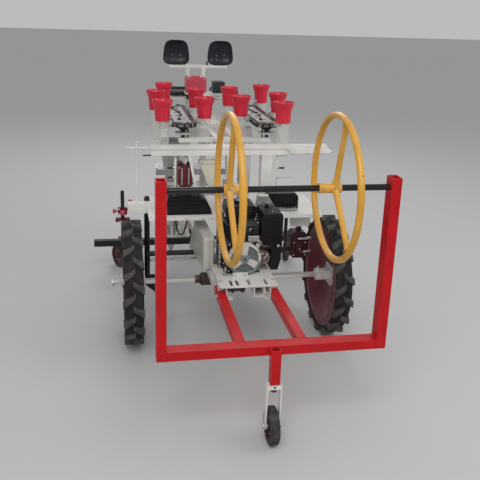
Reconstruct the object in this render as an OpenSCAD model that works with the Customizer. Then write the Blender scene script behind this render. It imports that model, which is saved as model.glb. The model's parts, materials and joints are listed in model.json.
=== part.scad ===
// Self-propelled two-row seedling transplanter.
// X is across the machine, the front looks along -Y, Z is up from the ground.
// Modules are drawn with Y = 0 at the drive axle, and placed() centres the whole on the origin.

/* [Front reel frame] */
// Outer width of the red frame
frame_w = 950; // [800:10:1060]
// Height of the open tops of the uprights
frame_top = 1125; // [1110:5:1200]
// Height of the underside of the crossbar
frame_z = 395; // [385:5:400]
// Distance of the front faces ahead of the drive axle
frame_y = 980; // [950:10:1050]
// Face width of the frame tube
tube_face = 40; // [36:1:50]
// Depth of the frame tube, front to back
tube_depth = 60; // [50:1:70]
// Wall of the frame tube
tube_wall = 3; // [2:0.5:5]
// Distance from the centre line to each draw bar
bar_x = 130; // [125:1:140]
// Square of the draw bars and of the main rails
bar_w = 40; // [36:1:44]
// Diameter of the reel shaft
shaft_d = 25; // [22:1:30]
// Height of the reel shaft
shaft_z = 1084; // [1070:2:1090]
// Wall of the bearing bush in each upright
bush_wall = 5; // [3:1:7]
// Radius of the reel rings, to the centre of the rim tube
ring_r = 278; // [240:2:300]
// Diameter of the rim tube
ring_tube = 26; // [18:1:30]
// Diameter of the ring spokes
spoke_d = 22; // [14:1:24]
// Place of the left ring along the shaft
ring_left_x = -200; // [-260:5:-120]
// Place of the right ring along the shaft
ring_right_x = 215; // [120:5:260]
// Outer diameter of the ring hubs
ring_hub_d = 50; // [44:1:60]
// Length of the ring hubs
ring_hub_len = 84; // [60:2:100]

/* [Guide wheel] */
// Diameter of the guide wheel
guide_d = 160; // [140:2:180]
// Width of the guide wheel
guide_w = 40; // [30:1:44]
// Width of the square steering socket
socket_w = 40; // [38:1:46]
// Height of the steering socket
socket_h = 150; // [140:2:152]
// Diameter of the steering post
post_d = 26; // [20:1:30]
// Height of the fork crown
crown_z = 276; // [240:2:276]
// Thickness of each fork arm
fork_t = 6; // [4:1:8]
// Side gap between the fork arms and the guide wheel
fork_gap = 6; // [5:1:10]
// Diameter of the small wheel pins
pin_d = 16; // [12:1:18]

/* [Drive wheels] */
// Radius of the drive wheels at the lug tips
wheel_r = 330; // [324:1:336]
// Distance from the centre line to the middle of each tyre
wheel_x = 533; // [520:1:560]
// Width of the tyres over the lugs
tyre_w = 100; // [80:2:110]
// Height of the lugs above the casing
lug_h = 22; // [14:1:28]
// Lugs on each side of a tyre
lug_n = 16; // [12:1:20]
// Radius of the rim
rim_r = 285; // [280:1:288]
// Thickness of the wheel disc
disc_t = 6; // [4:1:8]
// Width across flats of the hexagonal axle
hex_af = 28; // [24:1:30]
// Distance from the centre line to the axle ends
axle_end = 645; // [620:5:680]
// Square of the clamp that grips the axle
clamp_w = 52; // [44:2:60]
// Side of the square flange that the axle clamp bolts to the wheel with
flange_w = 110; // [100:2:110]
// Distance from the middle of the tyre to the flat middle of the wheel disc
dish_x = 22; // [16:1:28]
// Diameter of the journal in the axle sleeve
journal_d = 28; // [24:1:30]
// Outer diameter of the axle sleeves
sleeve_d = 70; // [60:2:76]
// Distance from the centre line to the outer end of a sleeve
sleeve_end = 202; // [196:2:220]

/* [Chassis] */
// Width of the gear case
case_w = 120; // [100:2:130]
// Square of the two front posts and the two rear posts
mast_w = 58; // [50:2:66]
// Place of the front posts behind the drive axle
mast_y = 120; // [110:2:140]
// Place of the rear posts behind the drive axle
rear_mast_y = 680; // [640:5:710]
// Underside height of the upper beams
beam_z = 985; // [970:5:1000]
// Square of the upper beams
beam_h = 50; // [40:2:60]
// Distance from the centre line to the left end of the front beam
beam_left = 427; // [400:1:450]
// Distance from the centre line to the right end of the front beam
beam_right = 520; // [490:5:530]
// Height of the top of the side platforms
deck_z = 712; // [700:2:730]
// Thickness of the side platforms
deck_t = 20; // [14:1:22]
// Outer end of the left platform
deck_left = 450; // [446:1:456]
// Outer end of the right platform
deck_right = 455; // [400:5:470]
// Front edge of the platforms, ahead of the axle
deck_front = 95; // [80:5:100]
// Rear edge of the platforms, behind the axle
deck_back = 300; // [240:5:340]
// Outer end of the cross beam on the left
end_x = 548; // [500:2:560]
// Distance from the centre line to the black strut
strut_x = 447; // [440:1:452]
// Diameter of the black strut
strut_d = 30; // [24:1:34]
// Turn of the chain cover away from the centre line
cover_yaw = 6; // [3:1:6]
// Width of the chain cover
cover_t = 56; // [46:1:58]
// Length of the chain cover
cover_len = 342; // [320:2:350]

/* [Engine] */
// Height of the top of the slotted engine plate
plate_z = 474; // [468:1:490]
// Thickness of the engine plate
plate_t = 8; // [5:1:10]
// Rear edge of the engine plate, ahead of the axle
plate_back = 160; // [155:5:180]
// Length of the draw bars past the front edge of the engine plate
bar_lap = 115; // [90:5:140]
// Width of the engine plate
plate_w = 284; // [270:2:300]
// Front edge of the engine plate, ahead of the axle
plate_front = 455; // [445:5:465]
// Front face of the engine, ahead of the axle
engine_front = 300; // [290:5:320]
// Height of the engine block above the plate
engine_h = 250; // [220:5:270]
// Length of the engine block, front to back
engine_len = 170; // [150:5:180]
// Distance from the engine shaft to the left side of the crankcase
crank_left = 85; // [80:1:90]
// Distance from the engine shaft to the right side of the crankcase
crank_right = 70; // [60:1:74]
// Radius of the round fan cover
fan_r = 82; // [74:1:84]
// Outer width of the square receiver
receiver_w = 50; // [44:1:54]
// Distance from the centre line to the receiver
receiver_x = 50; // [44:1:52]

/* [Feed units] */
// Distance from the centre line to each feed unit
unit_x = 236; // [230:1:244]
// Place of the front sprocket behind the drive axle
loop_front = 340; // [335:5:360]
// Distance between the sprocket centres
loop_len = 620; // [600:5:640]
// Radius of the path of the cups round each sprocket
cup_path_r = 125; // [122:1:128]
// Pitch radius of the feed chain round each sprocket
chain_r = 67; // [60:1:70]
// Height of the chain's middle
chain_z = 1110; // [1100:2:1120]
// Pitch of the chain links
link_pitch = 38.1; // [30:0.1:45]
// Height of the chain over its links
chain_h = 22; // [14:1:26]
// Thickness of the chain, across its run
chain_t = 14; // [10:1:16]
// Cups on each chain
cup_n = 5; // [4:1:5]
// Height of the cup rims
rim_z = 1250; // [1240:2:1280]
// Diameter of the cup rims
rim_d = 116; // [108:2:120]
// Depth of the red part of a cup
cup_h = 115; // [110:1:118]
// Wall of the cups and tubes
cup_wall = 2.4; // [2:0.2:3]
// Diameter of the clear tube at its top
tube_top_d = 72; // [66:1:74]
// Diameter of the clear tube at its foot
tube_foot_d = 68; // [60:1:70]
// Length of the clear tube
tube_len = 190; // [160:5:200]
// Start of the left cups along their path, from the front of the loop
phase_left = 152; // [145:1:156]
// Start of the right cups along their path, from the front of the loop
phase_right = 68; // [55:1:75]

/* [Planting and seats] */
// Half width of the tool bar
bar_half = 752; // [700:4:800]
// Square of the tool bar
tool_w = 40; // [36:1:44]
// Distance of the tool bar ahead of the planting beaks
tool_back = 105; // [102:1:112]
// Height of the tool bar's middle
tool_z = 205; // [195:1:215]
// Diameter of the cover wheels
cover_d = 158; // [140:2:160]
// Width of the cover wheels
cover_w = 34; // [28:1:40]
// Angle that the cover wheels are turned inwards
cover_turn = 25; // [10:1:30]
// Distance from the centre line to the cover wheel rods
rod_x = 562; // [550:2:580]
// Diameter of the cover wheel rods
rod_d = 24; // [20:1:28]
// Height of the top of the cover wheel rods
rod_top = 547; // [500:5:600]
// Height of the tip of the closed planting beak
beak_tip = 70; // [60:2:90]
// Length of the planting beak
beak_len = 230; // [200:5:240]
// Top diameter of the planting beak
beak_d = 110; // [104:2:114]
// Distance from the centre line to each seat
seat_x = 163; // [150:1:190]
// Shift of both seats to the right of the centre line
seat_shift = 20; // [0:1:25]
// Width of a seat
seat_w = 206; // [180:2:220]
// Height of the seat pans
seat_z = 1120; // [1080:5:1140]
// Height of the top of the backrests
seat_top = 1490; // [1440:5:1520]
// Underside height of the backrests
back_z = 1310; // [1290:5:1330]
// Thickness of the backrests
back_t = 40; // [25:5:50]
// Place of the rear faces of the backrests behind the drive axle
seat_back_y = 1750; // [1700:5:1800]
// Depth of the seat pans
pan_len = 270; // [240:5:300]
// Height of the footboard
foot_z = 650; // [600:5:700]
// Square of the seat posts
post_w = 30; // [24:2:36]
// Diameter of the planting guide rods
guide_rod_d = 16; // [12:1:20]
// Distance from each guide rod to the middle of its beak
guide_rod_y = 82; // [80:1:88]
// Height of the top of the guide rods
guide_rod_top = 600; // [580:5:620]

/* [Hidden] */
$fn = 48;
// Radial clearance of the running fits
fit = 0.05;
// Clearance of the parts that only rest in one another
ease = 0.3;
// Thickness of the pads, brackets and plates
plate = 8;
// Wall of the open bearing socket, receiver and other short sleeves
sleeve_wall = 4;
// Thickness of the sheet of the platforms
sheet_t = 4;
// Diameter of the thin white rods
stay_d = 10;
// Width of the cross pieces under the feed units
cross_w = 26;
shaft_y = -frame_y + tube_depth / 2;
frame_in = frame_w / 2 - tube_face;
ring_out = ring_r + ring_tube / 2;
y_mid = (seat_back_y - (frame_y - tube_depth / 2 + ring_out)) / 2;
rail_start = -plate_front + bar_lap;
rail_end = seat_back_y;
socket_top = frame_z + tube_face - 3;
socket_y = -frame_y - socket_w / 2;
rail_z = frame_z;
rail_top = rail_z + bar_w;
rail_in = bar_x - bar_w / 2;
rail_out = bar_x + bar_w / 2;
axle_z = wheel_r;
case_r = wheel_r - lug_h;
mast_x = rail_out + plate + mast_w / 2;
beam_top = beam_z + beam_h;
deck_in = rail_in;
deck_low = deck_z - deck_t;
end_z = deck_z + 18;
end_low = deck_low - 16;
engine_back = -engine_front + engine_len;
crank_h = fan_r + 2;
crank_z = plate_z + crank_h;
head_z = plate_z + engine_h;
cleaner_back = -deck_front - 15;
cleaner_top = head_z + 48;
shaft_line_y = 75;
shaft_line_z = rail_top + 23;
strut_y = mast_y + beam_h / 2 + 5 + strut_d / 2;
long_x = 50;
long_w = 30;
loop_back = loop_front + loop_len;
drop_y = loop_back + cup_path_r;
tool_y = drop_y - tool_back;
rod_y = tool_y + tool_w / 2 + rod_d / 2;
beak_top = beak_tip + beak_len + 60;
fork_inner = 6;
red_z = rim_z - cup_h;
band_t = chain_t - 6;
// Thickness of the side plates of the chain
link_t = 2.5;
unit_plate_z = chain_z - 6;
path_len = 2 * loop_len + 2 * PI * cup_path_r;
shelf_y = 1290;
shelf_z = 1150;

// Puts the middle of the machine's length over the origin.
module placed() {
  translate([0, -y_mid, 0]) children();
}

// A box from one corner to the opposite one.
module block(a, b) {
  translate(a) cube(b - a);
}

// A bar along X, from x1 to x2.
module rod_x_axis(x1, x2, r) {
  translate([x1, 0, 0]) rotate([0, 90, 0]) cylinder(h = x2 - x1, r = r);
}

// An outline in Y and Z, drawn out along X.
module along_x(x1, x2) {
  translate([x1, 0, 0]) rotate([90, 0, 90]) linear_extrude(x2 - x1) children();
}

// An outline in X and Z, drawn out along Y.
module along_y(y1, y2) {
  translate([0, y2, 0]) rotate([90, 0, 0]) linear_extrude(y2 - y1) children();
}

// A flat outline from corner a to corner b with rounded corners.
module rounded(a, b, r) {
  translate([a[0] + r, a[1]]) square([b[0] - a[0] - 2 * r, b[1] - a[1]]);
  translate([a[0], a[1] + r]) square([b[0] - a[0], b[1] - a[1] - 2 * r]);
  for (x = [a[0] + r, b[0] - r], y = [a[1] + r, b[1] - r]) translate([x, y]) circle(r = r);
}

// A hollow box tube standing on Z = 0, open at both ends.
module box_tube(w, d, h, wall) {
  linear_extrude(h) difference() {
    square([w, d], center = true);
    square([w - 2 * wall, d - 2 * wall], center = true);
  }
}

// Both sides of the machine.
module both() {
  children();
  mirror([1, 0, 0]) children();
}

// The red frame: two open uprights, a crossbar, two draw bars and the steering socket.
module front_frame() {
  color("firebrick") placed() {
    both() difference() {
      translate([frame_w / 2 - tube_face / 2, shaft_y, frame_z]) union() {
        box_tube(tube_face, tube_depth, frame_top - frame_z, tube_wall);
        translate([0, 0, shaft_z - frame_z])
          rod_x_axis(-tube_face / 2, tube_face / 2 - tube_wall, shaft_d / 2 + bush_wall);
      }
      translate([0, shaft_y, shaft_z])
        rod_x_axis(frame_in - 1, frame_w / 2 - tube_wall, shaft_d / 2 + fit);
    }
    translate([-frame_in, shaft_y, frame_z + tube_face / 2]) rotate([0, 90, 0])
      box_tube(tube_face, tube_depth, 2 * frame_in, tube_wall);
    both() translate([bar_x, -frame_y + tube_depth, frame_z + bar_w / 2]) rotate([-90, 0, 0])
      box_tube(bar_w, bar_w, frame_y - tube_depth + rail_start, tube_wall);
    steering_socket();
  }
}

// The long square socket on the front of the crossbar, with the bush of the steering post.
module steering_socket() {
  inner = socket_w / 2 - sleeve_wall;
  translate([0, socket_y, socket_top - socket_h])
    difference() {
      block([-socket_w / 2, -socket_w / 2, 0], [socket_w / 2, socket_w / 2, socket_h]);
      translate([0, 0, -1]) cylinder(h = socket_h, r = post_d / 2 + fit);
      block([-inner, -inner, socket_h / 2], [inner, inner, socket_h + 1]);
    }
}

// The black round shaft that the reel turns on.
module reel_shaft() {
  color("dimgray") placed() translate([0, shaft_y, shaft_z])
    rod_x_axis(-frame_w / 2 + tube_wall + 1, frame_w / 2 - tube_wall - 1, shaft_d / 2);
}

// One yellow ring: tube rim, three spokes and a long hub with a collar at each end.
module reel_ring(x, turn) {
  color("gold") placed() translate([x, shaft_y, shaft_z]) rotate([turn, 0, 0])
    difference() {
      union() {
        rotate([0, 90, 0]) rotate_extrude($fn = 96) translate([ring_r, 0]) circle(d = ring_tube);
        rod_x_axis(-ring_hub_len / 2, ring_hub_len / 2, ring_hub_d / 2);
        for (s = [-1, 1]) translate([s * (ring_hub_len / 2 - 5), 0, 0]) rod_x_axis(-5, 5, ring_hub_d / 2 + 4);
        for (a = [0, 120, 240]) rotate([a, 0, 0])
          translate([0, 0, shaft_d / 2 + 4]) cylinder(h = ring_r - shaft_d / 2 - 4, d = spoke_d);
      }
      rod_x_axis(-ring_hub_len, ring_hub_len, shaft_d / 2 + fit);
    }
}

module reel_ring_left() {
  reel_ring(ring_left_x, 20);
}

module reel_ring_right() {
  reel_ring(ring_right_x, -8);
}

// The fork of the guide wheel: steering post, crown with a hub under it, and two pressed arms.
module guide_fork() {
  arm_x = guide_w / 2 + fork_gap;
  color("ivory") placed() translate([0, socket_y, 0]) {
    translate([0, 0, crown_z]) cylinder(h = socket_top - socket_h / 2 - crown_z - 1, d = post_d);
    translate([0, 0, crown_z - 34]) cylinder(h = 28, r1 = 12, r2 = 17);
    along_y(-16, 16) {
      rounded([-arm_x - fork_t, crown_z - 20], [arm_x + fork_t, crown_z], 8);
    }
    for (s = [-1, 1]) translate([s * (arm_x + fork_t / 2), 0, 0])
      along_x(-fork_t / 2, fork_t / 2) {
        polygon([[-16, crown_z - 8], [16, crown_z - 8], [12, guide_d / 2], [-12, guide_d / 2]]);
        translate([0, guide_d / 2]) circle(r = 15);
      }
    translate([0, 0, guide_d / 2]) rod_x_axis(-arm_x - fork_t - 8, arm_x + fork_t + 8, pin_d / 2);
  }
}

// A small wheel with a rounded tyre, its axis along X.
module small_wheel(d, w) {
  hub_r = pin_d / 2 + 10;
  difference() {
    rotate([0, 90, 0]) rotate_extrude($fn = 72) {
      translate([pin_d / 2 + fit, -w / 2]) square([10, w]);
      polygon([[hub_r - 2, -3], [d / 2 - 24, -9], [d / 2 - 24, -3], [hub_r - 2, 3]]);
      translate([d / 2 - 26, -w / 2]) square([16, w]);
      translate([d / 2 - 11, -w / 2 + 10]) square([11, w - 20]);
      for (s = [-1, 1]) translate([d / 2 - 10, s * (w / 2 - 10)]) circle(r = 10);
    }
    rod_x_axis(-w, w, pin_d / 2 + fit);
  }
}

module guide_wheel() {
  color("dimgray") placed() translate([0, socket_y, guide_d / 2]) small_wheel(guide_d, guide_w);
}

// A low narrow tyre with its two rows of bent lugs, its axis along X.
module lugged_tyre() {
  w = tyre_w / 2;
  rotate([0, 90, 0]) rotate_extrude($fn = 96) polygon([
    [rim_r, -w + 14], [rim_r + 8, -w + 8], [case_r - 8, -w + 4], [case_r - 3, -w + 12],
    [case_r, -w + 26], [case_r, w - 26], [case_r - 3, w - 12], [case_r - 8, w - 4],
    [rim_r + 8, w - 8], [rim_r, w - 14]]);
  for (s = [-1, 1], k = [0:lug_n - 1])
    rotate([(k + s / 4) * 360 / lug_n, 0, 0]) tread_lug(s);
}

// One lug, from the shoulder to just past the middle of the tread.
module tread_lug(s) {
  root = case_r - 12;
  translate([0, 0, root]) linear_extrude(sqrt(wheel_r * wheel_r - 36 * 36) - root)
    polygon([[s * tyre_w / 2, -36], [s * tyre_w / 2, 4], [s * 18, 16], [-s * 5, 34], [-s * 5, 8],
      [s * 14, -12]]);
}

// The steel wheel: beaded rim band and deep dished disc, its axis along X, outside towards +X.
module steel_wheel() {
  w = tyre_w / 2 - 12;
  hub_r = hex_af / 2 + 6;
  difference() {
    rotate([0, 90, 0]) rotate_extrude($fn = 96) {
      translate([rim_r - 4, -w]) square([4 - ease, 2 * w]);
      for (s = [-1, 1]) translate([rim_r - 5, s * (w - 2)]) circle(r = 4, $fn = 16);
      polygon([[rim_r - 3, -w], [rim_r - 3, -w + disc_t], [rim_r - 40, -w + disc_t],
        [132, dish_x - 10 + disc_t], [86, dish_x + disc_t], [hub_r, dish_x + disc_t], [hub_r, dish_x],
        [86, dish_x], [130, dish_x - 10], [rim_r - 42, -w]]);
      translate([hub_r, dish_x]) square([14, disc_t + 12]);
    }
    rotate([0, 90, 0]) translate([0, 0, -200]) cylinder(h = 400, d = hex_af / cos(30) + 2 * ease, $fn = 6);
  }
}

module drive_tyre(side) {
  color("dimgray") placed() translate([side * wheel_x, 0, axle_z]) lugged_tyre();
}

module drive_rim(side) {
  color("maroon") placed() translate([side * wheel_x, 0, axle_z])
    rotate([0, 0, side > 0 ? 0 : 180]) steel_wheel();
}

// The hexagonal half axle with its round journal, its square clamp and the clamp's flange.
module half_axle(side) {
  flange_x = wheel_x + dish_x;
  color("slategray") placed() translate([0, 0, axle_z]) rotate([0, 0, side > 0 ? 0 : 180]) {
    rotate([0, 90, 0]) translate([0, 0, sleeve_end + 2])
      cylinder(h = axle_end - sleeve_end - 2, d = hex_af / cos(30), $fn = 6);
    rod_x_axis(case_w / 2 + 4, sleeve_end + 2, journal_d / 2);
    along_x(flange_x - 88, flange_x - 9) rounded([-clamp_w / 2, -clamp_w / 2], [clamp_w / 2, clamp_w / 2], 5);
    along_x(flange_x - 10, flange_x) rounded([-flange_w / 2, -flange_w / 2], [flange_w / 2, flange_w / 2], 14);
    translate([flange_x - 72, 0, clamp_w / 2]) cylinder(h = 16, r = 9);
    translate([flange_x - 32, 0, clamp_w / 2]) cylinder(h = 10, r = 9);
  }
}

module tyre_left() {
  drive_tyre(-1);
}

module tyre_right() {
  drive_tyre(1);
}

module rim_left() {
  drive_rim(-1);
}

module rim_right() {
  drive_rim(1);
}

module axle_left() {
  half_axle(-1);
}

module axle_right() {
  half_axle(1);
}

// The gear case between the rails, with a necked axle sleeve on each side.
module axle_housing() {
  color("saddlebrown") placed() difference() {
    union() {
      rotate([0, 90, 0]) translate([-axle_z, 0, -case_w / 2]) cylinder(h = case_w, r = 76);
      for (x = [-case_w / 2, -5, case_w / 2 - 10]) translate([x, 0, axle_z]) rod_x_axis(0, 10, 84);
      block([-case_w / 2, -60, axle_z], [case_w / 2, 60, rail_top + 20]);
      block([-rail_in, -50, rail_z + 5], [rail_in, 50, rail_top - 5]);
      both() translate([0, 0, axle_z]) {
        rod_x_axis(case_w / 2, case_w / 2 + 14, sleeve_d / 2 + 14);
        rod_x_axis(case_w / 2, sleeve_end - 34, sleeve_d / 2);
        translate([sleeve_end - 34, 0, 0]) rotate([0, 90, 0])
          cylinder(h = 12, r1 = sleeve_d / 2, r2 = journal_d / 2 + 8);
        rod_x_axis(sleeve_end - 24, sleeve_end, journal_d / 2 + 8);
      }
    }
    both() translate([0, 0, axle_z]) rod_x_axis(case_w / 2, sleeve_end + 1, journal_d / 2 + fit);
  }
}

// The two long rails and the ties between them.
module main_rails() {
  color("gainsboro") placed() {
    both() translate([bar_x, rail_start, rail_z + bar_w / 2]) rotate([-90, 0, 0])
      box_tube(bar_w, bar_w, rail_end - rail_start, tube_wall);
    for (y = [mast_y - 20, 290, 1425, rail_end - 55])
      block([-rail_in, y, rail_z], [rail_in, y + 40, rail_top]);
  }
}

// The slotted plate that carries the engine, on brackets over the rails.
module engine_plate() {
  low = plate_z - plate_t;
  color("whitesmoke") placed() {
    difference() {
      translate([0, 0, low]) linear_extrude(plate_t)
        rounded([-plate_w / 2, -plate_front], [plate_w / 2, -plate_back], 12);
      for (x = [-81, -52, 5, 87]) slot([x, -plate_front + 50, plate_z], 13, 76, plate_t);
    }
    for (y = [-plate_front + 50, -plate_back - 40]) both()
      block([bar_x - 16, y, rail_top], [bar_x + 12, y + 28, low]);
    both() {
      block([rail_in - 6, -plate_front + 8, rail_z + 8], [rail_in - 1, -plate_front + 56, low]);
      block([rail_in - 34, -plate_front + 8, rail_z + 8], [rail_in - 1, -plate_front + 40, rail_z + 13]);
    }
    block([-60, -engine_front - 36, plate_z], [14, -engine_front - 30, plate_z + 20]);
    receiver_tube();
  }
}

// A slot along Y, cut down through a plate.
module slot(at, w, len, t) {
  translate([at[0], at[1], at[2] - t - 1]) linear_extrude(t + 2) {
    square([w, len - w], center = true);
    for (s = [-1, 1]) translate([0, s * (len - w) / 2]) circle(d = w);
  }
}

// The open square receiver under the engine plate.
module receiver_tube() {
  size = plate_z - plate_t - rail_top + 21;
  translate([receiver_x, -plate_front + 4, plate_z - plate_t - size / 2]) rotate([-90, 0, 0])
    box_tube(receiver_w, size, 200, sleeve_wall);
}

// The engine: crankcase, finned cylinder, round fan cover with three arms, silencer and end plate.
module engine_block() {
  y1 = -engine_front;
  case_z = plate_z + 2 * crank_h;
  color("silver") placed() {
    along_y(y1, engine_back) rounded([-crank_left, plate_z + 6], [crank_right, case_z], 22);
    block([-crank_left - 8, y1 + 12, plate_z], [crank_right + 14, engine_back - 12, plate_z + 12]);
    for (z = [case_z + 4:13:head_z - 12]) translate([0, 0, z]) linear_extrude(6)
      rounded([-12, y1 + 24], [crank_right + 10, engine_back - 8], 10);
    block([0, y1 + 40, case_z - 10], [crank_right, engine_back - 20, head_z]);
    block([crank_right, y1 + 70, case_z + 10], [crank_right + 16, y1 + 100, case_z + 40]);
    fan_cover();
    translate([crank_right + 34, 0, plate_z + 74]) {
      rotate([-90, 0, 0]) translate([0, 0, y1 + 15]) cylinder(h = 110, r = 28);
      rotate([-90, 0, 0]) translate([0, 0, y1 + 7]) cylinder(h = 10, r1 = 18, r2 = 24);
      translate([-40, y1 + 70, 0]) rod_x_axis(0, 20, 14);
    }
    block([-crank_left - 27, engine_back - 70, plate_z], [-crank_left - 13, engine_back, head_z - 20]);
    translate([0, engine_back - 35, crank_z]) rod_x_axis(-crank_left - 20, -crank_left + 10, 24);
  }
}

// The round cover of the fan, open between its three arms.
module fan_cover() {
  translate([0, -engine_front, crank_z]) rotate([90, 0, 0]) {
    cylinder(h = 6, r = fan_r);
    difference() {
      cylinder(h = 22, r = fan_r);
      translate([0, 0, -1]) cylinder(h = 24, r = fan_r - 12);
    }
    cylinder(h = 20, r = 30);
    cylinder(h = 26, r = 20);
    for (a = [90, 210, 330]) rotate([0, 0, a]) linear_extrude(22)
      polygon([[20, -13], [fan_r - 6, -20], [fan_r - 6, 20], [20, 13]]);
  }
}

// The black air cleaner with its lower shroud.
module air_cleaner() {
  x1 = crank_right + 16;
  y1 = -engine_front + 15;
  low = plate_z + 138;
  color("black") placed() {
    intersection() {
      along_y(y1, cleaner_back) polygon([[x1 + 14, low], [x1 + 108, low], [x1 + 108, cleaner_top - 6],
        [x1 + 100, cleaner_top], [x1 + 14, cleaner_top], [x1, cleaner_top - 22], [x1, low + 20]]);
      along_x(x1 - 1, x1 + 110) polygon([[y1, low], [cleaner_back, low], [cleaner_back, cleaner_top],
        [y1 + 16, cleaner_top], [y1, cleaner_top - 12]]);
    }
    along_y(y1 + 20, y1 + 130) polygon([[x1 + 60, low], [x1 + 106, low], [x1 + 112, plate_z + 60],
      [x1 + 96, plate_z], [x1 + 60, plate_z]]);
  }
}

// The black tank over the crankcase, with its filler cap.
module fuel_tank() {
  x2 = crank_right + 10;
  color("black") placed() {
    intersection() {
      along_y(-190, -45) rounded([-75, head_z], [x2, head_z + 66], 20);
      translate([0, 0, head_z]) linear_extrude(66) rounded([-75, -190], [x2, -45], 26);
    }
    translate([0, -118, head_z + 60]) cylinder(h = 18, r = 22);
  }
}

// The bright folded guard on top of the air cleaner.
module engine_shield() {
  x1 = crank_right + 15;
  color("silver") placed() {
    along_y(cleaner_back - 16, cleaner_back - 11)
      polygon([[x1, cleaner_top], [x1 + 94, cleaner_top], [x1 + 60, cleaner_top + 60], [x1 + 8, cleaner_top + 60]]);
    block([x1 + 8, cleaner_back - 46, cleaner_top + 56], [x1 + 60, cleaner_back - 11, cleaner_top + 60]);
  }
}

// The white cover over the drive chain on the engine's left, on a foot on the rail.
module chain_cover() {
  z1 = rail_top + 11;
  color("white") placed() {
    translate([-rail_out - 28, engine_back - 20, 0]) rotate([0, 0, cover_yaw]) intersection() {
      along_x(0, cover_t) polygon([[0, z1], [0, z1 + 154], [16, z1 + 164], [0.6 * cover_len, z1 + 194],
        [0.66 * cover_len, z1 + 190], [cover_len, z1 + 6], [cover_len, z1]]);
      translate([0, 0, rail_top]) linear_extrude(300) rounded([0, 0], [cover_t, cover_len], 12);
    }
    block([-rail_out + 2, engine_back - 10, rail_top], [-rail_in - 19, engine_back + 30, z1 + 4]);
  }
}

// The maroon gear case beside the right wheel, with its cover, boss and two flat brackets.
module side_gearbox() {
  x1 = 326;
  z1 = rail_top - 20;
  color("maroon") placed() {
    along_y(40, 120) polygon([[x1, z1 + 20], [x1 + 20, z1], [x1 + 84, z1], [x1 + 104, z1 + 24],
      [x1 + 104, z1 + 110], [x1 + 80, z1 + 150], [x1 + 20, z1 + 150], [x1, z1 + 130]]);
    along_y(32, 41) rounded([x1 + 12, z1 + 12], [x1 + 92, z1 + 100], 24);
    translate([x1 + 52, 32, z1 + 56]) rotate([90, 0, 0]) cylinder(h = 12, r1 = 26, r2 = 20);
    for (z = [z1 + 36, z1 + 112]) block([x1 + 40, 26, z], [x1 + 116, 41, z + 10]);
  }
}

// The cross shafts on their pillow blocks, and the black strut on the left with its foot and bar.
module cross_shafts() {
  r = strut_d / 2;
  color("black") placed() {
    translate([-strut_x, strut_y, 280]) cylinder(h = deck_z + 26 - 280, r = r);
    translate([-strut_x, strut_y, deck_z + 26]) sphere(r = r);
    along_y(strut_y - 4, strut_y + 4) polygon([[-strut_x - r, 300], [-strut_x - r, 243], [-strut_x + 42, 195],
      [-strut_x + 67, 195], [-strut_x + 67, 300]]);
    block([-strut_x - 12, mast_y + beam_h / 2, deck_low], [-strut_x + 12, strut_y, deck_z + 8]);
    block([-strut_x - 8, shaft_line_y - 12, shaft_line_z - 12], [-strut_x + 8, strut_y, shaft_line_z + 12]);
    translate([0, shaft_line_y, shaft_line_z]) {
      rod_x_axis(-strut_x, -rail_out - 55, 12);
      rod_x_axis(-strut_x + 40, -strut_x + 70, 20);
      rod_x_axis(case_w / 2 + 2, 326, 12);
      rod_x_axis(240, 262, 24);
    }
    translate([0, strut_y, rail_top - 20]) rod_x_axis(-strut_x, -rail_out, 7.5);
    block([rail_in, shaft_line_y - 12, rail_top], [rail_out, shaft_line_y + 12, shaft_line_z + 16]);
    block([370, 60, rail_top + 130], [390, 100, deck_z - sheet_t]);
  }
}

// The two white folded platforms, the cross beam under them and the panel and link that hang below.
module side_platforms() {
  color("white") placed() {
    difference() {
      union() {
        folded_deck(-deck_left, -deck_in);
        block([-end_x, mast_y - beam_h / 2, end_low], [-mast_w / 2, mast_y + beam_h / 2, end_z]);
      }
      block([-strut_x - strut_d / 2 - 3, mast_y + beam_h / 2, deck_low - 1],
        [-strut_x + strut_d / 2 + 3, strut_y + strut_d / 2 + 3, deck_z + 1]);
    }
    block([mast_w / 2, mast_y - beam_h / 2, end_low], [mast_x - mast_w / 2, mast_y + beam_h / 2, end_z]);
    difference() {
      folded_deck(deck_in, deck_right);
      block([mast_x - mast_w / 2, mast_y - mast_w / 2, deck_low - 1],
        [mast_x + mast_w / 2, mast_y + mast_w / 2, deck_z + 1]);
    }
    along_y(12, 16) polygon([[deck_right - 155, deck_z - 2], [deck_right - 21, deck_z - 2],
      [deck_right - 37, deck_z - 104], [deck_right - 139, deck_z - 104]]);
    translate([-240, 40, deck_z - 135]) cylinder(h = 133, d = 12);
    translate([-240, 40, deck_z - 150]) cylinder(h = 18, d = 26);
  }
}

// A sheet platform with its edges folded down.
module folded_deck(x1, x2) {
  difference() {
    block([x1, -deck_front, deck_low], [x2, deck_back, deck_z]);
    block([x1 + sheet_t, -deck_front + sheet_t, deck_low - 1],
      [x2 - sheet_t, deck_back - sheet_t, deck_z - sheet_t]);
  }
}

// The glossy louvred case: curved steps across the front and sloping ends.
module ribbed_case() {
  steps = 6;
  h = 86;
  color("black") placed() intersection() {
    along_x(-360, -deck_in) polygon(concat([[mast_y - 30, deck_z], [-60, deck_z]],
      [for (k = [0:steps - 1], j = [0, 1]) [-60 + 110 * (1 - cos(90 * k / steps)),
        deck_z + h * sin(90 * (k + j) / steps)]], [[mast_y - 30, deck_z + h]]));
    along_y(-61, mast_y) polygon([[-357, deck_z], [-126, deck_z], [-132, deck_z + 30], [-150, deck_z + 62],
      [-182, deck_z + h], [-345, deck_z + h], [-357, deck_z + 60]]);
  }
}

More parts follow.
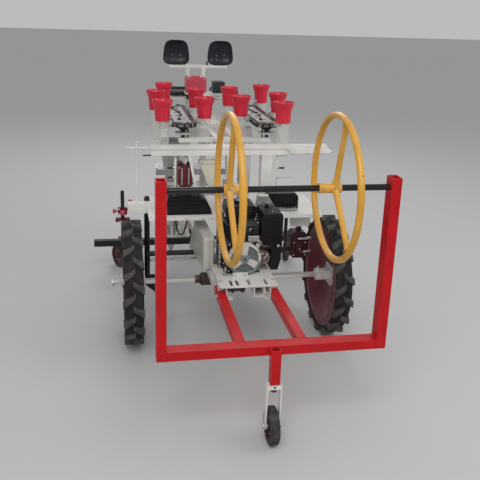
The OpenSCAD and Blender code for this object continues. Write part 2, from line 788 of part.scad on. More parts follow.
// The black box on the right platform, and the dark box on the shelf behind.
module tool_box() {
  color("black") placed() {
    difference() {
      along_y(0, 84) {
        block_face([182, deck_z], [346, deck_z + 86], 26);
      }
      along_y(-1, 4) rounded([194, deck_z + 12], [334, deck_z + 74], 14);
    }
    along_y(shelf_y, shelf_y + 80) rounded([70, shelf_z + plate], [150, shelf_z + plate + 80], 8);
  }
}

// An outline with square lower corners and rounded upper ones.
module block_face(a, b, r) {
  translate(a) square([b[0] - a[0], b[1] - a[1] - r]);
  translate([a[0] + 8, b[1] - r]) square([b[0] - a[0] - r - 8, r]);
  translate([b[0] - r, b[1] - r]) circle(r = r);
  translate([a[0] + 8, b[1] - 8]) circle(r = 8);
  translate([a[0], b[1] - r]) square([8, r - 8]);
}

// The front beam, the posts, the long tubes and the cross pieces under the feed units.
module upper_frame() {
  y1 = mast_y - beam_h / 2;
  y2 = mast_y + beam_h / 2;
  color("white") placed() {
    block([-mast_w / 2, mast_y - mast_w / 2, rail_top], [mast_w / 2, mast_y + mast_w / 2, beam_z]);
    post_on_rail(mast_y);
    post_on_rail(rear_mast_y);
    mirror([1, 0, 0]) post_on_rail(rear_mast_y);
    difference() {
      block([-beam_left, y1, beam_z], [beam_right, y2, beam_top]);
      block([-beam_left - 1, y1 - 1, beam_z + 20], [beam_right + 1, y1 + 4, beam_z + 32]);
    }
    both() block([long_x - long_w / 2, y2, beam_z + 10], [long_x + long_w / 2, loop_back + cross_w, beam_top]);
    block([-mast_x - mast_w / 2, rear_mast_y - mast_w / 2, beam_z],
      [mast_x + mast_w / 2, rear_mast_y + mast_w / 2, beam_top]);
    for (y = [loop_front, loop_back])
      block([-unit_x - 25, y - cross_w / 2, beam_top - 25], [unit_x + 25, y + cross_w / 2, beam_top]);
    along_y(y1 - 6, y1) polygon([[297, beam_z + 34], [316, beam_z + 8], [528, beam_z + 8], [548, beam_z + 20],
      [528, beam_z + 34]]);
    frame_stays(y1);
    seedling_shelf();
  }
}

// A square post beside the rail, with the pad between them.
module post_on_rail(y) {
  block([mast_x - mast_w / 2, y - mast_w / 2, rail_z], [mast_x + mast_w / 2, y + mast_w / 2, beam_z]);
  block([rail_out, y - 20, rail_z], [mast_x, y + 20, rail_top]);
}

// The thin uprights, the slanted strip, the T-shaped rod and the hangers of the gearbox and tank.
module frame_stays(y1) {
  translate([-299, mast_y, end_z]) cylinder(h = beam_z - end_z, d = 14);
  translate([250, mast_y, deck_z]) cylinder(h = beam_z - deck_z, d = stay_d);
  along_y(y1 - 5, y1 + 3) polygon([[-235, beam_z + 4], [-221, beam_z + 4], [-170, end_z], [-184, end_z]]);
  translate([-500, mast_y, end_z]) cylinder(h = beam_z + 37 - end_z, d = stay_d);
  translate([0, mast_y, beam_z + 37]) rod_x_axis(-553, -beam_left, stay_d / 2);
  block([-250, mast_y + 5, 930], [-226, mast_y + 21, beam_z]);
  block([-62, mast_y - 8, 850], [-mast_w / 2, mast_y + 18, 872]);
}

// The light shelf between the two feed units, with its raised edges.
module seedling_shelf() {
  difference() {
    block([-long_x - 2, 660, beam_top], [long_x + 2, 1240, beam_top + 20]);
    block([-long_x + 2, 664, beam_top + 4], [long_x - 2, 1236, beam_top + 21]);
  }
}

// The ribbed maroon gearbox under the front beam with its knob, and the rear box on its shelf.
module feed_gearbox() {
  color("maroon") placed() {
    along_y(mast_y - 18, mast_y + 44) rounded([-286, 811], [-210, 930], 12);
    for (z = [830:22:918]) block([-290, mast_y - 20, z], [-206, mast_y + 46, z + 6]);
    along_y(mast_y - 22, mast_y - 16) rounded([-256, 818], [-240, 924], 6);
    translate([-274, mast_y + 10, 928]) cylinder(h = 14, r = 9);
    translate([-274, mast_y + 10, 940]) cylinder(h = 10, r1 = 14, r2 = 11);
    along_y(shelf_y, shelf_y + 110) rounded([-115, shelf_z + plate], [22, shelf_z + plate + 108], 14);
    translate([-46, shelf_y + 55, shelf_z + plate + 106]) cylinder(h = 10, r = 30);
  }
}

// The cream tank, narrower towards its foot.
module cream_tank() {
  color("wheat") placed() {
    along_y(mast_y - 20, mast_y + 30) polygon([[-62, 819], [-121, 819], [-127, 825], [-171, 933],
      [-171, 945], [-62, 945]]);
    along_y(mast_y - 23, mast_y + 33) rounded([-175, 939], [-58, 955], 5);
  }
}

// A long round-ended outline round the two sprocket centres.
module racetrack(r) {
  translate([-r, 0]) square([2 * r, loop_len]);
  circle(r = r);
  translate([0, loop_len]) circle(r = r);
}

// The light grey plates inside the chains, on conical hubs, flanges and posts, each with a thin stay.
module guide_plates() {
  plate_r = chain_r - band_t / 2 - ease;
  color("lightgray") placed() both() translate([unit_x, loop_front, 0]) {
    translate([0, 0, unit_plate_z]) linear_extrude(12) difference() {
      racetrack(plate_r);
      for (k = [1:4]) translate([0, k * loop_len / 5]) circle(r = 24);
      for (k = [0:4]) translate([-30, (k + 0.5) * loop_len / 5 - 22]) square([12, 44]);
    }
    for (y = [0, loop_len]) translate([0, y, 0]) {
      translate([0, 0, beam_top]) cylinder(h = unit_plate_z - beam_top, d = 20);
      translate([0, 0, beam_top + 20]) cylinder(h = 5, r1 = 40, r2 = 46);
      translate([0, 0, beam_top + 25]) cylinder(h = 5, r = 46);
      translate([0, 0, beam_top + 38]) cylinder(h = unit_plate_z - beam_top - 38, r1 = 14, r2 = 44);
      translate([0, 0, unit_plate_z + 12]) cylinder(h = 12, r1 = 24, r2 = 17);
    }
    translate([-cross_w, 0, beam_top]) cylinder(h = unit_plate_z - beam_top, d = 8);
  }
}

// Place and direction at a distance along a loop of radius r, as [x, y, angle].
function path_at(s, r) =
  let (q = r * PI / 2)
  s < q ? let (a = s / r * 180 / PI) [r * sin(a), -r * cos(a), a - 90] :
  s < q + loop_len ? [r, s - q, 0] :
  s < 3 * q + loop_len ? let (a = (s - q - loop_len) / r * 180 / PI)
    [r * cos(a), loop_len + r * sin(a), a] :
  s < 3 * q + 2 * loop_len ? [-r, loop_len - (s - 3 * q - loop_len), 180] :
  let (a = (s - 3 * q - 2 * loop_len) / r * 180 / PI) [-r * cos(a), -r * sin(a), 180 + a];

// The two feed chains: each one closed loop of rollers with the side plates of every second link.
module feed_chains() {
  run = 2 * loop_len + 2 * PI * chain_r;
  links = 2 * round(run / link_pitch / 2);
  color("black") placed() both() translate([unit_x, loop_front, 0]) {
    translate([0, 0, chain_z - chain_h / 2 + link_t - 0.5])
      linear_extrude(chain_h - 2 * link_t + 1) difference() {
      racetrack(chain_r + band_t / 2);
      racetrack(chain_r - band_t / 2);
    }
    for (k = [0:2:links - 1], z = [chain_z - chain_h / 2, chain_z + chain_h / 2 - link_t]) {
      p = path_at((k + 0.5) * run / links, chain_r);
      translate([p[0], p[1], z]) rotate([0, 0, p[2]]) linear_extrude(link_t) link_plate();
    }
  }
}

// The long eight-sided outline of one side plate.
module link_plate() {
  a = link_pitch / 2 + 5;
  b = chain_t / 2;
  polygon([[-b, -a + 4], [-b + 4, -a], [b - 4, -a], [b, -a + 4], [b, a - 4], [b - 4, a], [-b + 4, a], [-b, a - 4]]);
}

// Children at every cup of both feed units, with +X pointing away from the chain.
module at_cups() {
  for (side = [-1, 1], k = [0:cup_n - 1]) {
    s = (side < 0 ? phase_left : phase_right) + k * path_len / cup_n;
    p = path_at(s % path_len, cup_path_r);
    translate([side * unit_x, loop_front, 0]) mirror([side < 0 ? 1 : 0, 0, 0])
      translate([p[0], p[1], 0]) rotate([0, 0, p[2]]) children();
  }
}

// The saddle under each cup, with the tab that grips the chain between its side plates.
module cup_holders() {
  reach = cup_path_r - chain_r - chain_t / 2;
  grip = chain_h / 2 - link_t - ease;
  root = -reach + 5;
  color("dimgray") placed() at_cups() difference() {
    union() {
      block([root, -24, red_z - 22], [-24, 24, red_z]);
      block([root, -12, chain_z - grip], [root + 8, 12, red_z - 10]);
      block([-reach - chain_t / 2 + band_t / 2, -12, chain_z - grip], [root + 1, 12, chain_z + grip]);
    }
    translate([0, 0, red_z - 60]) cylinder(h = 80, r = tube_top_d / 2 + ease);
  }
}

// The flared red cups, each with a deep rim band.
module feed_cups() {
  r1 = tube_top_d / 2 + ease;
  r2 = rim_d / 2;
  r3 = r2 - 12;
  band = cup_h - 28;
  color("crimson") placed() at_cups() translate([0, 0, red_z]) rotate_extrude()
    polygon([[r1, 0], [r1 + cup_wall, 0], [r3, band - 3], [r2 - 3, band], [r2, cup_h - 2], [r2 - 1, cup_h],
      [r2 - cup_wall, cup_h], [r2 - 3 - cup_wall, band + 3], [r3 - cup_wall, band], [r1, 30]]);
}

// The clear tapered tubes under the cups.
module cup_tubes() {
  r1 = tube_top_d / 2;
  r2 = tube_foot_d / 2;
  color([0.8, 0.9, 0.9, 0.5]) placed() at_cups() translate([0, 0, red_z + 8 - tube_len]) rotate_extrude()
    polygon([[r2 - cup_wall, 0], [r2, 0], [r1, tube_len - 12], [r1, tube_len],
      [r1 - cup_wall, tube_len], [r1 - cup_wall, tube_len - 12]]);
}

// The fixed chutes under the rear end of each feed loop, hung on the planter brackets.
module drop_chutes() {
  z1 = beak_top + 60;
  r = beak_d / 2 - 16;
  z2 = guide_rod_top + 280;
  color("lightgray") placed() both() translate([unit_x, drop_y, 0]) rotate_extrude()
    polygon([[r, z1], [r + 3, z1], [r + 3, guide_rod_top], [r + 19, guide_rod_top], [r + 19, guide_rod_top + 5],
      [r + 3, guide_rod_top + 5], [r + 3, guide_rod_top + 40], [r + 39, z2 - 10], [r + 44, z2 - 4],
      [r + 42, z2], [r + 36, z2 - 10], [r, guide_rod_top + 40]]);
}

// The side plates, bridges and rods that the planting beaks slide on.
module planter_guides() {
  z1 = tool_z + tool_w / 2;
  y1 = drop_y - guide_rod_y - 18;
  y2 = drop_y + guide_rod_y + 18;
  x2 = unit_x + 30;
  color("whitesmoke") placed() both() {
    block([rail_out, y1, z1], [rail_out + plate, y2, guide_rod_top]);
    for (z = [z1, guide_rod_top - plate]) translate([0, 0, z]) linear_extrude(plate) difference() {
      union() {
        translate([rail_out, y1]) square([unit_x - rail_out, y2 - y1]);
        rounded([rail_out, y1], [x2, y2], 16);
      }
      translate([unit_x, drop_y]) circle(r = z > z1 ? beak_d / 2 - 13 + ease : beak_d / 2 + 7);
    }
    for (s = [-1, 1]) translate([unit_x, drop_y + s * guide_rod_y, z1 + plate])
      cylinder(h = guide_rod_top - 2 * plate - z1, d = guide_rod_d);
  }
}

// One planting beak, split at its tip, with its carriage, which slides on two rods.
module beak(side) {
  r = beak_d / 2;
  boss_r = guide_rod_d / 2 + 6;
  web = guide_rod_y - 8;
  color("slategray") placed() translate([side * unit_x, drop_y, 0]) difference() {
    union() {
      rotate_extrude() polygon([[0, beak_tip], [8, beak_tip], [r, beak_tip + beak_len], [r, beak_top],
        [r - 3, beak_top], [r - 3, beak_tip + beak_len], [4, beak_tip + 20], [0, beak_tip + 20]]);
      for (s = [-1, 1]) {
        translate([0, s * guide_rod_y, beak_top - 50]) cylinder(h = 50, r = boss_r);
        translate([0, s * (r + web) / 2, beak_top - 28]) cube([12, web - r + 4, 40], center = true);
      }
    }
    for (s = [-1, 1]) translate([0, s * guide_rod_y, beak_top - 60])
      cylinder(h = 70, r = guide_rod_d / 2 + fit);
    translate([-1, -r, beak_tip - 1]) cube([2, 2 * r, beak_len / 2]);
  }
}

module beak_left() {
  beak(-1);
}

module beak_right() {
  beak(1);
}

// The black square bar across the rear, hung below the rails on two channel hangers.
module tool_bar() {
  h = tool_w / 2;
  color("black") placed() translate([0, tool_y, tool_z]) {
    difference() {
      block([-bar_half, -h, -h], [bar_half, h, h]);
      for (s = [-1, 1]) translate([s * bar_half, 0, 0]) block([-60, -h + 4, -h + 4], [60, h - 4, h - 4]);
    }
    both() {
      block([rail_in - 12, -15, h], [rail_in - 4, 15, rail_z - tool_z + bar_w / 2]);
      block([rail_in - 12, -19, h], [rail_in + 14, -13, rail_z - tool_z]);
      block([rail_in - 12, -15, rail_z - tool_z + 6], [rail_in, 15, rail_z - tool_z + 14]);
    }
  }
}

// Children at each cover wheel, with +X along its axis and away from the machine.
module at_cover_wheel(side) {
  translate([side * (rod_x + 30), rod_y + 63, cover_d / 2])
    rotate([0, 0, side > 0 ? -cover_turn : 180 + cover_turn]) children();
}

// The maroon clamps, rod and arm of each cover wheel.
module cover_forks() {
  u1 = -cover_w / 2 - fork_inner;
  r = rod_d / 2;
  color("maroon") placed() {
    both() translate([rod_x, rod_y, 0]) {
      translate([0, 0, 170]) cylinder(h = rod_top - 170, d = rod_d);
      translate([0, 0, rod_top]) cylinder(h = 6, r1 = r, r2 = r - 4);
      along_y(-r + ease, r + 14) rounded([-32, tool_z - 25], [32, tool_z + 25], 8);
      along_y(-16, 16) rounded([-48, 341], [48, 366], 10);
      along_y(-16, 16) rounded([-30, 390], [30, 438], 8);
      translate([0, -14, 414]) rotate([90, 0, 0]) cylinder(h = 26, r = 8);
      translate([0, -38, 414]) rotate([90, 0, 0]) cylinder(h = 12, r = 18);
    }
    for (side = [-1, 1]) at_cover_wheel(side) {
      v1 = side > 0 ? -76 : 54;
      v2 = side > 0 ? -54 : 76;
      rod_x_axis(u1 - 8, cover_w / 2 + 6, pin_d / 2);
      along_x(u1 - 8, u1) {
        circle(r = 16);
        translate([side > 0 ? -76 : 4, -14]) square([72, 26]);
        translate([v1, -14]) square([22, 135]);
      }
      block([u1 - 8, v1, 92], [12, v2, 121]);
    }
  }
}

module cover_wheel(side) {
  color("dimgray") placed() at_cover_wheel(side) small_wheel(cover_d, cover_w);
}

module cover_wheel_left() {
  cover_wheel(-1);
}

module cover_wheel_right() {
  cover_wheel(1);
}

// The two black moulded seats, each a dished pan and a low tapered backrest.
module seats() {
  w = seat_w / 2;
  top = w - 38;
  y1 = -back_t - pan_len;
  color("black") placed() for (s = [-1, 1]) translate([s * seat_x + seat_shift, seat_back_y, 0]) {
    difference() {
      translate([0, 0, seat_z]) linear_extrude(40) rounded([-w, y1 - 20], [w, -back_t - 20], 30);
      translate([0, y1 / 2 - 40, seat_z + 420]) rotate([90, 0, 0])
        translate([0, 0, -110]) cylinder(h = 220, r = 400);
    }
    difference() {
      along_y(-back_t, 0) {
        polygon([[-w, back_z], [w, back_z], [w, back_z + 30], [top + 16, seat_top - 16], [-top - 16, seat_top - 16],
          [-w, back_z + 30]]);
        for (t = [-1, 1]) translate([t * top, seat_top - 16]) circle(r = 16);
        translate([-top, seat_top - 16]) square([2 * top, 16]);
      }
      translate([0, -back_t - 280, back_z - 1]) cylinder(h = seat_top - back_z + 2, r = 300);
    }
  }
}

// The uprights, the bar under the backrests, the arms under the pans, the column and its shelf.
module seat_frame() {
  y2 = seat_back_y - 5;
  y1 = seat_back_y - back_t - 40;
  x1 = 58;
  w = post_w / 2;
  z1 = seat_z - 30;
  color("white") placed() {
    both() {
      block([x1 - w, y2 - post_w, rail_top], [x1 + w, y2, back_z - 12]);
      block([x1 - w, y1 - pan_len + 60, z1 - 24], [x1 + w, y2, z1]);
      block([rail_out, 1260, rail_z], [rail_out + bar_w, 1300, foot_z - 6]);
    }
    for (y = [y1 - 60, y1 - pan_len + 80])
      block([-seat_x - 80 + seat_shift, y - w, z1], [seat_x + 80 + seat_shift, y + w, seat_z]);
    block([seat_shift - 215, y2 - 30, back_z - 20], [seat_shift + 215, y2, back_z]);
    block([5, 1425, rail_top], [45, 1465, shelf_z + plate]);
    translate([0, 0, shelf_z]) linear_extrude(plate) {
      rounded([-120, shelf_y], [175, shelf_y + 115], 10);
      translate([5, shelf_y + 80]) square([40, 100]);
    }
    block([0, shelf_y + 4, shelf_z - 30], [175, shelf_y + 12, shelf_z - 20]);
    block([5, shelf_y + 4, shelf_z - 30], [45, shelf_y + 12, shelf_z]);
  }
}

// The bright footboard with its front edge folded down.
module footboard() {
  color("silver") placed() {
    block([-330, 1190, foot_z - 6], [330, 1420, foot_z]);
    block([-330, 1190, foot_z - 40], [330, 1194, foot_z]);
  }
}

// Point of the cable's route in its own plane, leaning legs and a round bend, at t from 0 to 1.
function cable_at(t, lean, bend, leg) =
  t < 0.3 ? let (u = leg * (0.3 - t) / 0.3) [-bend * cos(lean) - u * sin(lean), u * cos(lean) - bend * sin(lean)] :
  t > 0.7 ? let (u = leg * (t - 0.7) / 0.3) [bend * cos(lean) + u * sin(lean), u * cos(lean) - bend * sin(lean)] :
  let (a = 180 + lean + (180 - 2 * lean) * (t - 0.3) / 0.4) [bend * cos(a), bend * sin(a)];

// The cable that hangs in a narrow loop below the left platform.
module control_cables() {
  lean = 14;
  bend = 16;
  leg = 92;
  r = 4;
  sides = 8;
  rings = 20;
  route = [for (k = [0:rings]) cable_at(k / rings, lean, bend, leg)];
  drop = leg * cos(lean) - bend * sin(lean);
  dirs = [for (k = [0:rings]) let (d = route[min(k + 1, rings)] - route[max(k - 1, 0)]) d / norm(d)];
  flat = [for (k = [0:rings]) k == 0 || k == rings ? 0 : 1];
  points = [for (k = [0:rings], j = [0:sides - 1])
    let (a = 360 * j / sides, n = flat[k] == 1 ? [-dirs[k][1], dirs[k][0]] : [k == 0 ? 1 : -1, 0])
    [route[k][0] + r * cos(a) * n[0], r * sin(a), route[k][1] - drop + r * cos(a) * n[1]]];
  color("black") placed() translate([-285, -60, deck_z - sheet_t]) polyhedron(points,
    concat([[for (j = [0:sides - 1]) j]], [[for (j = [sides - 1:-1:0]) rings * sides + j]],
      [for (k = [0:rings - 1], j = [0:sides - 1]) let (m = (j + 1) % sides)
        [k * sides + m, k * sides + j, (k + 1) * sides + j, (k + 1) * sides + m]]));
}

front_frame();
reel_shaft();
reel_ring_left();
reel_ring_right();
guide_fork();
guide_wheel();
tyre_left();
rim_left();
axle_left();
tyre_right();
rim_right();
axle_right();
axle_housing();
main_rails();
engine_plate();
engine_block();
air_cleaner();
fuel_tank();
engine_shield();
chain_cover();
side_gearbox();
cross_shafts();
side_platforms();
ribbed_case();
tool_box();
upper_frame();
feed_gearbox();
cream_tank();
guide_plates();
feed_chains();
cup_holders();
feed_cups();
cup_tubes();
drop_chutes();
planter_guides();
beak_left();
beak_right();
tool_bar();
cover_forks();
cover_wheel_left();
cover_wheel_right();
seats();
seat_frame();
footboard();
control_cables();
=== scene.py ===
"""Finishes, fittings and a plain studio for a two-row seedling transplanter."""

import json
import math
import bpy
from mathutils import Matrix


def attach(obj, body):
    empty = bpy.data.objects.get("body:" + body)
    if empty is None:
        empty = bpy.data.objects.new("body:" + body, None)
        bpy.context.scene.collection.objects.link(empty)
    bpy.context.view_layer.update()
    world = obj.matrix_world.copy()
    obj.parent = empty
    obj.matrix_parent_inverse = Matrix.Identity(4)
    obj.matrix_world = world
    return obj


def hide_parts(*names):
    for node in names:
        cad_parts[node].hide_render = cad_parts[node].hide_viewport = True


bl_info = {
    "name": "Seedling Transplanter",
    "version": (1, 0, 0),
    "blender": (4, 5, 0),
    "location": "View3D > Sidebar > Transplanter",
    "description": "Paint, plastic, rubber and fittings of a two-row seedling transplanter",
    "category": "Object",
}

import bmesh
import bpy
from mathutils import Euler, Matrix, Vector

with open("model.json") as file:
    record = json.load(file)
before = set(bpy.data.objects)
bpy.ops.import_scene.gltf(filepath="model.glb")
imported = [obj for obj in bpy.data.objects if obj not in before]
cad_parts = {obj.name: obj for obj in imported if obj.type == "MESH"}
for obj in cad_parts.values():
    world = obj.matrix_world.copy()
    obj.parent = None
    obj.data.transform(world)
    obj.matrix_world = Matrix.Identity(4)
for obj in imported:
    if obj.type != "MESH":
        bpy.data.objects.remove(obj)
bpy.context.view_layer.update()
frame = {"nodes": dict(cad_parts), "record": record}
NODES = frame["nodes"]
JOINTS = {joint["name"]: joint for joint in frame["record"]["behaviour"]["joints"]}
AXLE_Y = JOINTS["wheel_left_spin"]["pos_m"][1]
MM = 0.001
TURN = 2 * math.pi
SIDES = (-1, 1)
UP, FRONT, RIGHT, LEFT = (0, 0, 1), (0, -1, 0), (1, 0, 0), (-1, 0, 0)
FINISH = {}
TREES = {}

# Places that several pieces share, in millimetres from the middle of the drive axle, on the ground.
WHEEL_X, WHEEL_Z = 533.0, 330.0
LUGS = 16
FAN = (0, -300, 558)
UNIT_X, LOOP_FRONT, LOOP_LEN = 236.0, 340.0, 620.0
CUPS, CUP_PATH, CUP_FOOT = 5, 125.0, 1135.0
PHASES = {-1: 152.0, 1: 68.0}
CHAIN_RADIUS, CHAIN_Z, LINK_PITCH, PLATE_TOP = 67.0, 1110.0, 38.1, 1115.6
BEAK_Y = 1085
COVER_ROD = (562, 1012)
SEAT_X, SEAT_SHIFT = 163, 20
COVER_SPOT, COVER_TURN = (-178, -150, 0), 6
# The clamps on the axle, in metres to either side of the middle.
CLAMP_SPAN = (0.466, 0.556)


# Shapes

class Shape:
    """One piece, built from solids drawn in millimetres from the ground under the drive axle's middle."""

    def __init__(self, name, *finishes):
        self.name = name
        self.finishes = finishes
        self.finish = 0
        self.mesh = bmesh.new()

    def take(self, part, bevel=0.0, steps=2, angle=30.0):
        """Rounds a solid's sharp edges and adds the solid to the piece."""
        bmesh.ops.recalc_face_normals(part, faces=part.faces)
        if bevel:
            sharp = [e for e in part.edges if len(e.link_faces) == 2
                     and e.calc_face_angle() > math.radians(angle)]
            bmesh.ops.bevel(part, geom=sharp, offset=bevel, segments=steps, profile=0.6, affect="EDGES",
                            clamp_overlap=True)
        for face in part.faces:
            face.material_index = self.finish
        mesh = bpy.data.meshes.new("part")
        part.to_mesh(mesh)
        part.free()
        self.mesh.from_mesh(mesh)
        bpy.data.meshes.remove(mesh)

    def prism(self, outline, low, high, along="z", bevel=0.8, turned=None):
        """A flat outline drawn out along one axis, and then turned by a matrix."""
        put = {"x": lambda a, b, c: (c, a, b),
               "y": lambda a, b, c: (a, c, b),
               "z": lambda a, b, c: (a, b, c)}[along]
        part = bmesh.new()
        rings = [[part.verts.new(put(a, b, c)) for a, b in outline] for c in (low, high)]
        for ring in rings:
            part.faces.new(ring)
        for k in range(len(outline)):
            part.faces.new((rings[0][k - 1], rings[0][k], rings[1][k], rings[1][k - 1]))
        if turned:
            part.transform(turned)
        self.take(part, bevel)

    def block(self, low, high, bevel=0.8, turned=None):
        """A box between two corners."""
        (x1, y1, z1), (x2, y2, z2) = low, high
        self.prism([(x1, y1), (x2, y1), (x2, y2), (x1, y2)], z1, z2, "z", bevel, turned)

    def turned(self, profile, foot=(0, 0, 0), aim=UP, steps=32, ring=False, bevel=0.0):
        """A form turned round an axis from foot along aim, its profile as (radius, rise)."""
        part = bmesh.new()
        rings = []
        for radius, rise in profile:
            count = 1 if radius < 0.01 else steps
            rings.append([part.verts.new((radius * math.cos(k * TURN / steps),
                                          radius * math.sin(k * TURN / steps), rise))
                          for k in range(count)])
        pairs = list(zip(rings, rings[1:])) + ([(rings[-1], rings[0])] if ring else [])
        for low, high in pairs:
            for k in range(steps):
                corners = [low[k % len(low)], low[(k + 1) % len(low)], high[(k + 1) % len(high)],
                           high[k % len(high)]]
                corners = list(dict.fromkeys(corners))
                if len(corners) > 2:
                    part.faces.new(corners)
        if not ring:
            for end in (rings[0], rings[-1]):
                if len(end) > 1:
                    part.faces.new(end)
        part.transform(aimed(foot, aim))
        self.take(part, bevel)

    def pipe(self, route, radius, sides=10, closed=False):
        """A round bar along a route of points, of one radius or of one at each point."""
        points = [Vector(p) for p in route]
        count = len(points)
        part = bmesh.new()
        rings, across = [], None
        for k, point in enumerate(points):
            before = points[k - 1] if k or closed else point
            after = points[(k + 1) % count] if k < count - 1 or closed else point
            ahead = (after - before).normalized()
            across = ahead.orthogonal() if across is None else across
            across = (across - ahead * across.dot(ahead)).normalized()
            up = ahead.cross(across)
            size = radius[k] if isinstance(radius, (list, tuple)) else radius
            rings.append([part.verts.new(point + size * (across * math.cos(j * TURN / sides)
                                                         + up * math.sin(j * TURN / sides)))
                          for j in range(sides)])
        pairs = list(zip(rings, rings[1:])) + ([(rings[-1], rings[0])] if closed else [])
        for low, high in pairs:
            for j in range(sides):
                part.faces.new((low[j - 1], low[j], high[j], high[j - 1]))
        if not closed:
            part.faces.new(rings[0])
            part.faces.new(rings[-1])
        self.take(part)

    def strip(self, outside, inside, low, high):
        """A closed flat band between two outlines of as many points."""
        part = bmesh.new()
        rings = [[part.verts.new((x, y, z)) for x, y in outline] for outline, z in
                 ((outside, low), (outside, high), (inside, high), (inside, low))]
        for near, far in zip(rings, rings[1:] + rings[:1]):
            for k in range(len(near)):
                part.faces.new((near[k - 1], near[k], far[k], far[k - 1]))
        self.take(part)

    def weld(self, corners, closed=True, radius=2.6):
        """A rippled bead of weld along a run of straight lines."""
        ends = list(zip(corners, corners[1:])) + ([(corners[-1], corners[0])] if closed else [])
        for start, end in ends:
            start, end = Vector(start), Vector(end)
            count = max(2, round((end - start).length / 4.0))
            self.pipe([start.lerp(end, k / count) for k in range(count + 1)],
                      [radius * (1.0 + 0.12 * (-1) ** k) for k in range(count + 1)], 6)

    def finished(self, smooth=38.0, placed=True):
        """The piece's object in metres, with its finishes and soft shading."""
        self.mesh.transform(Matrix.Translation((0, AXLE_Y if placed else 0, 0)) @ Matrix.Scale(MM, 4))
        mesh = bpy.data.meshes.new(self.name)
        self.mesh.to_mesh(mesh)
        self.mesh.free()
        for finish in self.finishes:
            mesh.materials.append(finish)
        mesh.shade_smooth()
        mesh.set_sharp_from_angle(angle=math.radians(smooth))
        piece = bpy.data.objects.new(self.name, mesh)
        bpy.context.scene.collection.objects.link(piece)
        return piece

    def fit(self, body, slot, *nodes, smooth=38.0):
        """Makes the piece, rides it on its body and hides the nodes that it stands for."""
        return settle(self.finished(smooth), body, slot, *nodes)


def settle(piece, body, slot, *nodes):
    """Rides a piece on its body and hides the nodes that it stands for."""
    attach(piece, body)
    if nodes:
        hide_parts(*nodes)
    return piece


def aimed(foot, aim, spin=0.0):
    """The matrix that takes +Z to aim and the origin to foot."""
    aim = Vector(aim).normalized()
    return (Matrix.Translation(foot) @ aim.to_track_quat("Z", "Y").to_matrix().to_4x4()
            @ Matrix.Rotation(math.radians(spin), 4, "Z"))


def rounded(low, high, radius, steps=4):
    """The outline of a rectangle with rounded corners."""
    (x1, y1), (x2, y2) = low, high
    points = []
    for x, y, start in ((x2 - radius, y1 + radius, -90), (x2 - radius, y2 - radius, 0),
                        (x1 + radius, y2 - radius, 90), (x1 + radius, y1 + radius, 180)):
        for k in range(steps + 1):
            angle = math.radians(start + 90 * k / steps)
            points.append((x + radius * math.cos(angle), y + radius * math.sin(angle)))
    return points


def ring_of(count, radius, start=0.0):
    """Points spaced evenly round a circle."""
    for k in range(count):
        angle = math.radians(start + 360.0 * k / count)
        yield radius * math.cos(angle), radius * math.sin(angle)


def arc(radius, degrees, x=0, y=0):
    """Points at a list of angles round a point."""
    return [(x + radius * math.cos(math.radians(a)), y + radius * math.sin(math.radians(a)))
            for a in degrees]


def hexagon(x, y, across, high=None):
    """The outline of a nut round a point, of one radius or of one along each axis."""
    return [(x + across * math.cos(k * TURN / 6), y + (high or across) * math.sin(k * TURN / 6))
            for k in range(6)]


def point_tree():
    """The node tree that sets a pattern at every point, turned by the point's own angles."""
    tree = bpy.data.node_groups.new("fittings at points", "GeometryNodeTree")
    sockets = {}
    for name, kind in (("Points", "Geometry"), ("Pattern", "Object"), ("Size", "Float"),
                       ("Finish", "Material")):
        sockets[name] = tree.interface.new_socket(name, in_out="INPUT",
                                                  socket_type="NodeSocket" + kind).identifier
    tree.interface.new_socket("Fittings", in_out="OUTPUT", socket_type="NodeSocketGeometry")
    start, end = tree.nodes.new("NodeGroupInput"), tree.nodes.new("NodeGroupOutput")
    turn = tree.nodes.new("GeometryNodeInputNamedAttribute")
    turn.data_type = "FLOAT_VECTOR"
    turn.inputs["Name"].default_value = "turn"
    angles = tree.nodes.new("FunctionNodeEulerToRotation")
    pattern = tree.nodes.new("GeometryNodeObjectInfo")
    setter = tree.nodes.new("GeometryNodeInstanceOnPoints")
    solid = tree.nodes.new("GeometryNodeRealizeInstances")
    finish = tree.nodes.new("GeometryNodeSetMaterial")
    for out, into in ((start.outputs["Points"], setter.inputs["Points"]),
                      (start.outputs["Pattern"], pattern.inputs["Object"]),
                      (pattern.outputs["Geometry"], setter.inputs["Instance"]),
                      (turn.outputs["Attribute"], angles.inputs["Euler"]),
                      (angles.outputs["Rotation"], setter.inputs["Rotation"]),
                      (start.outputs["Size"], setter.inputs["Scale"]),
                      (setter.outputs["Instances"], solid.inputs["Geometry"]),
                      (solid.outputs["Geometry"], finish.inputs["Geometry"]),
                      (start.outputs["Finish"], finish.inputs["Material"]),
                      (finish.outputs["Geometry"], end.inputs[0])):
        tree.links.new(out, into)
    return tree, sockets


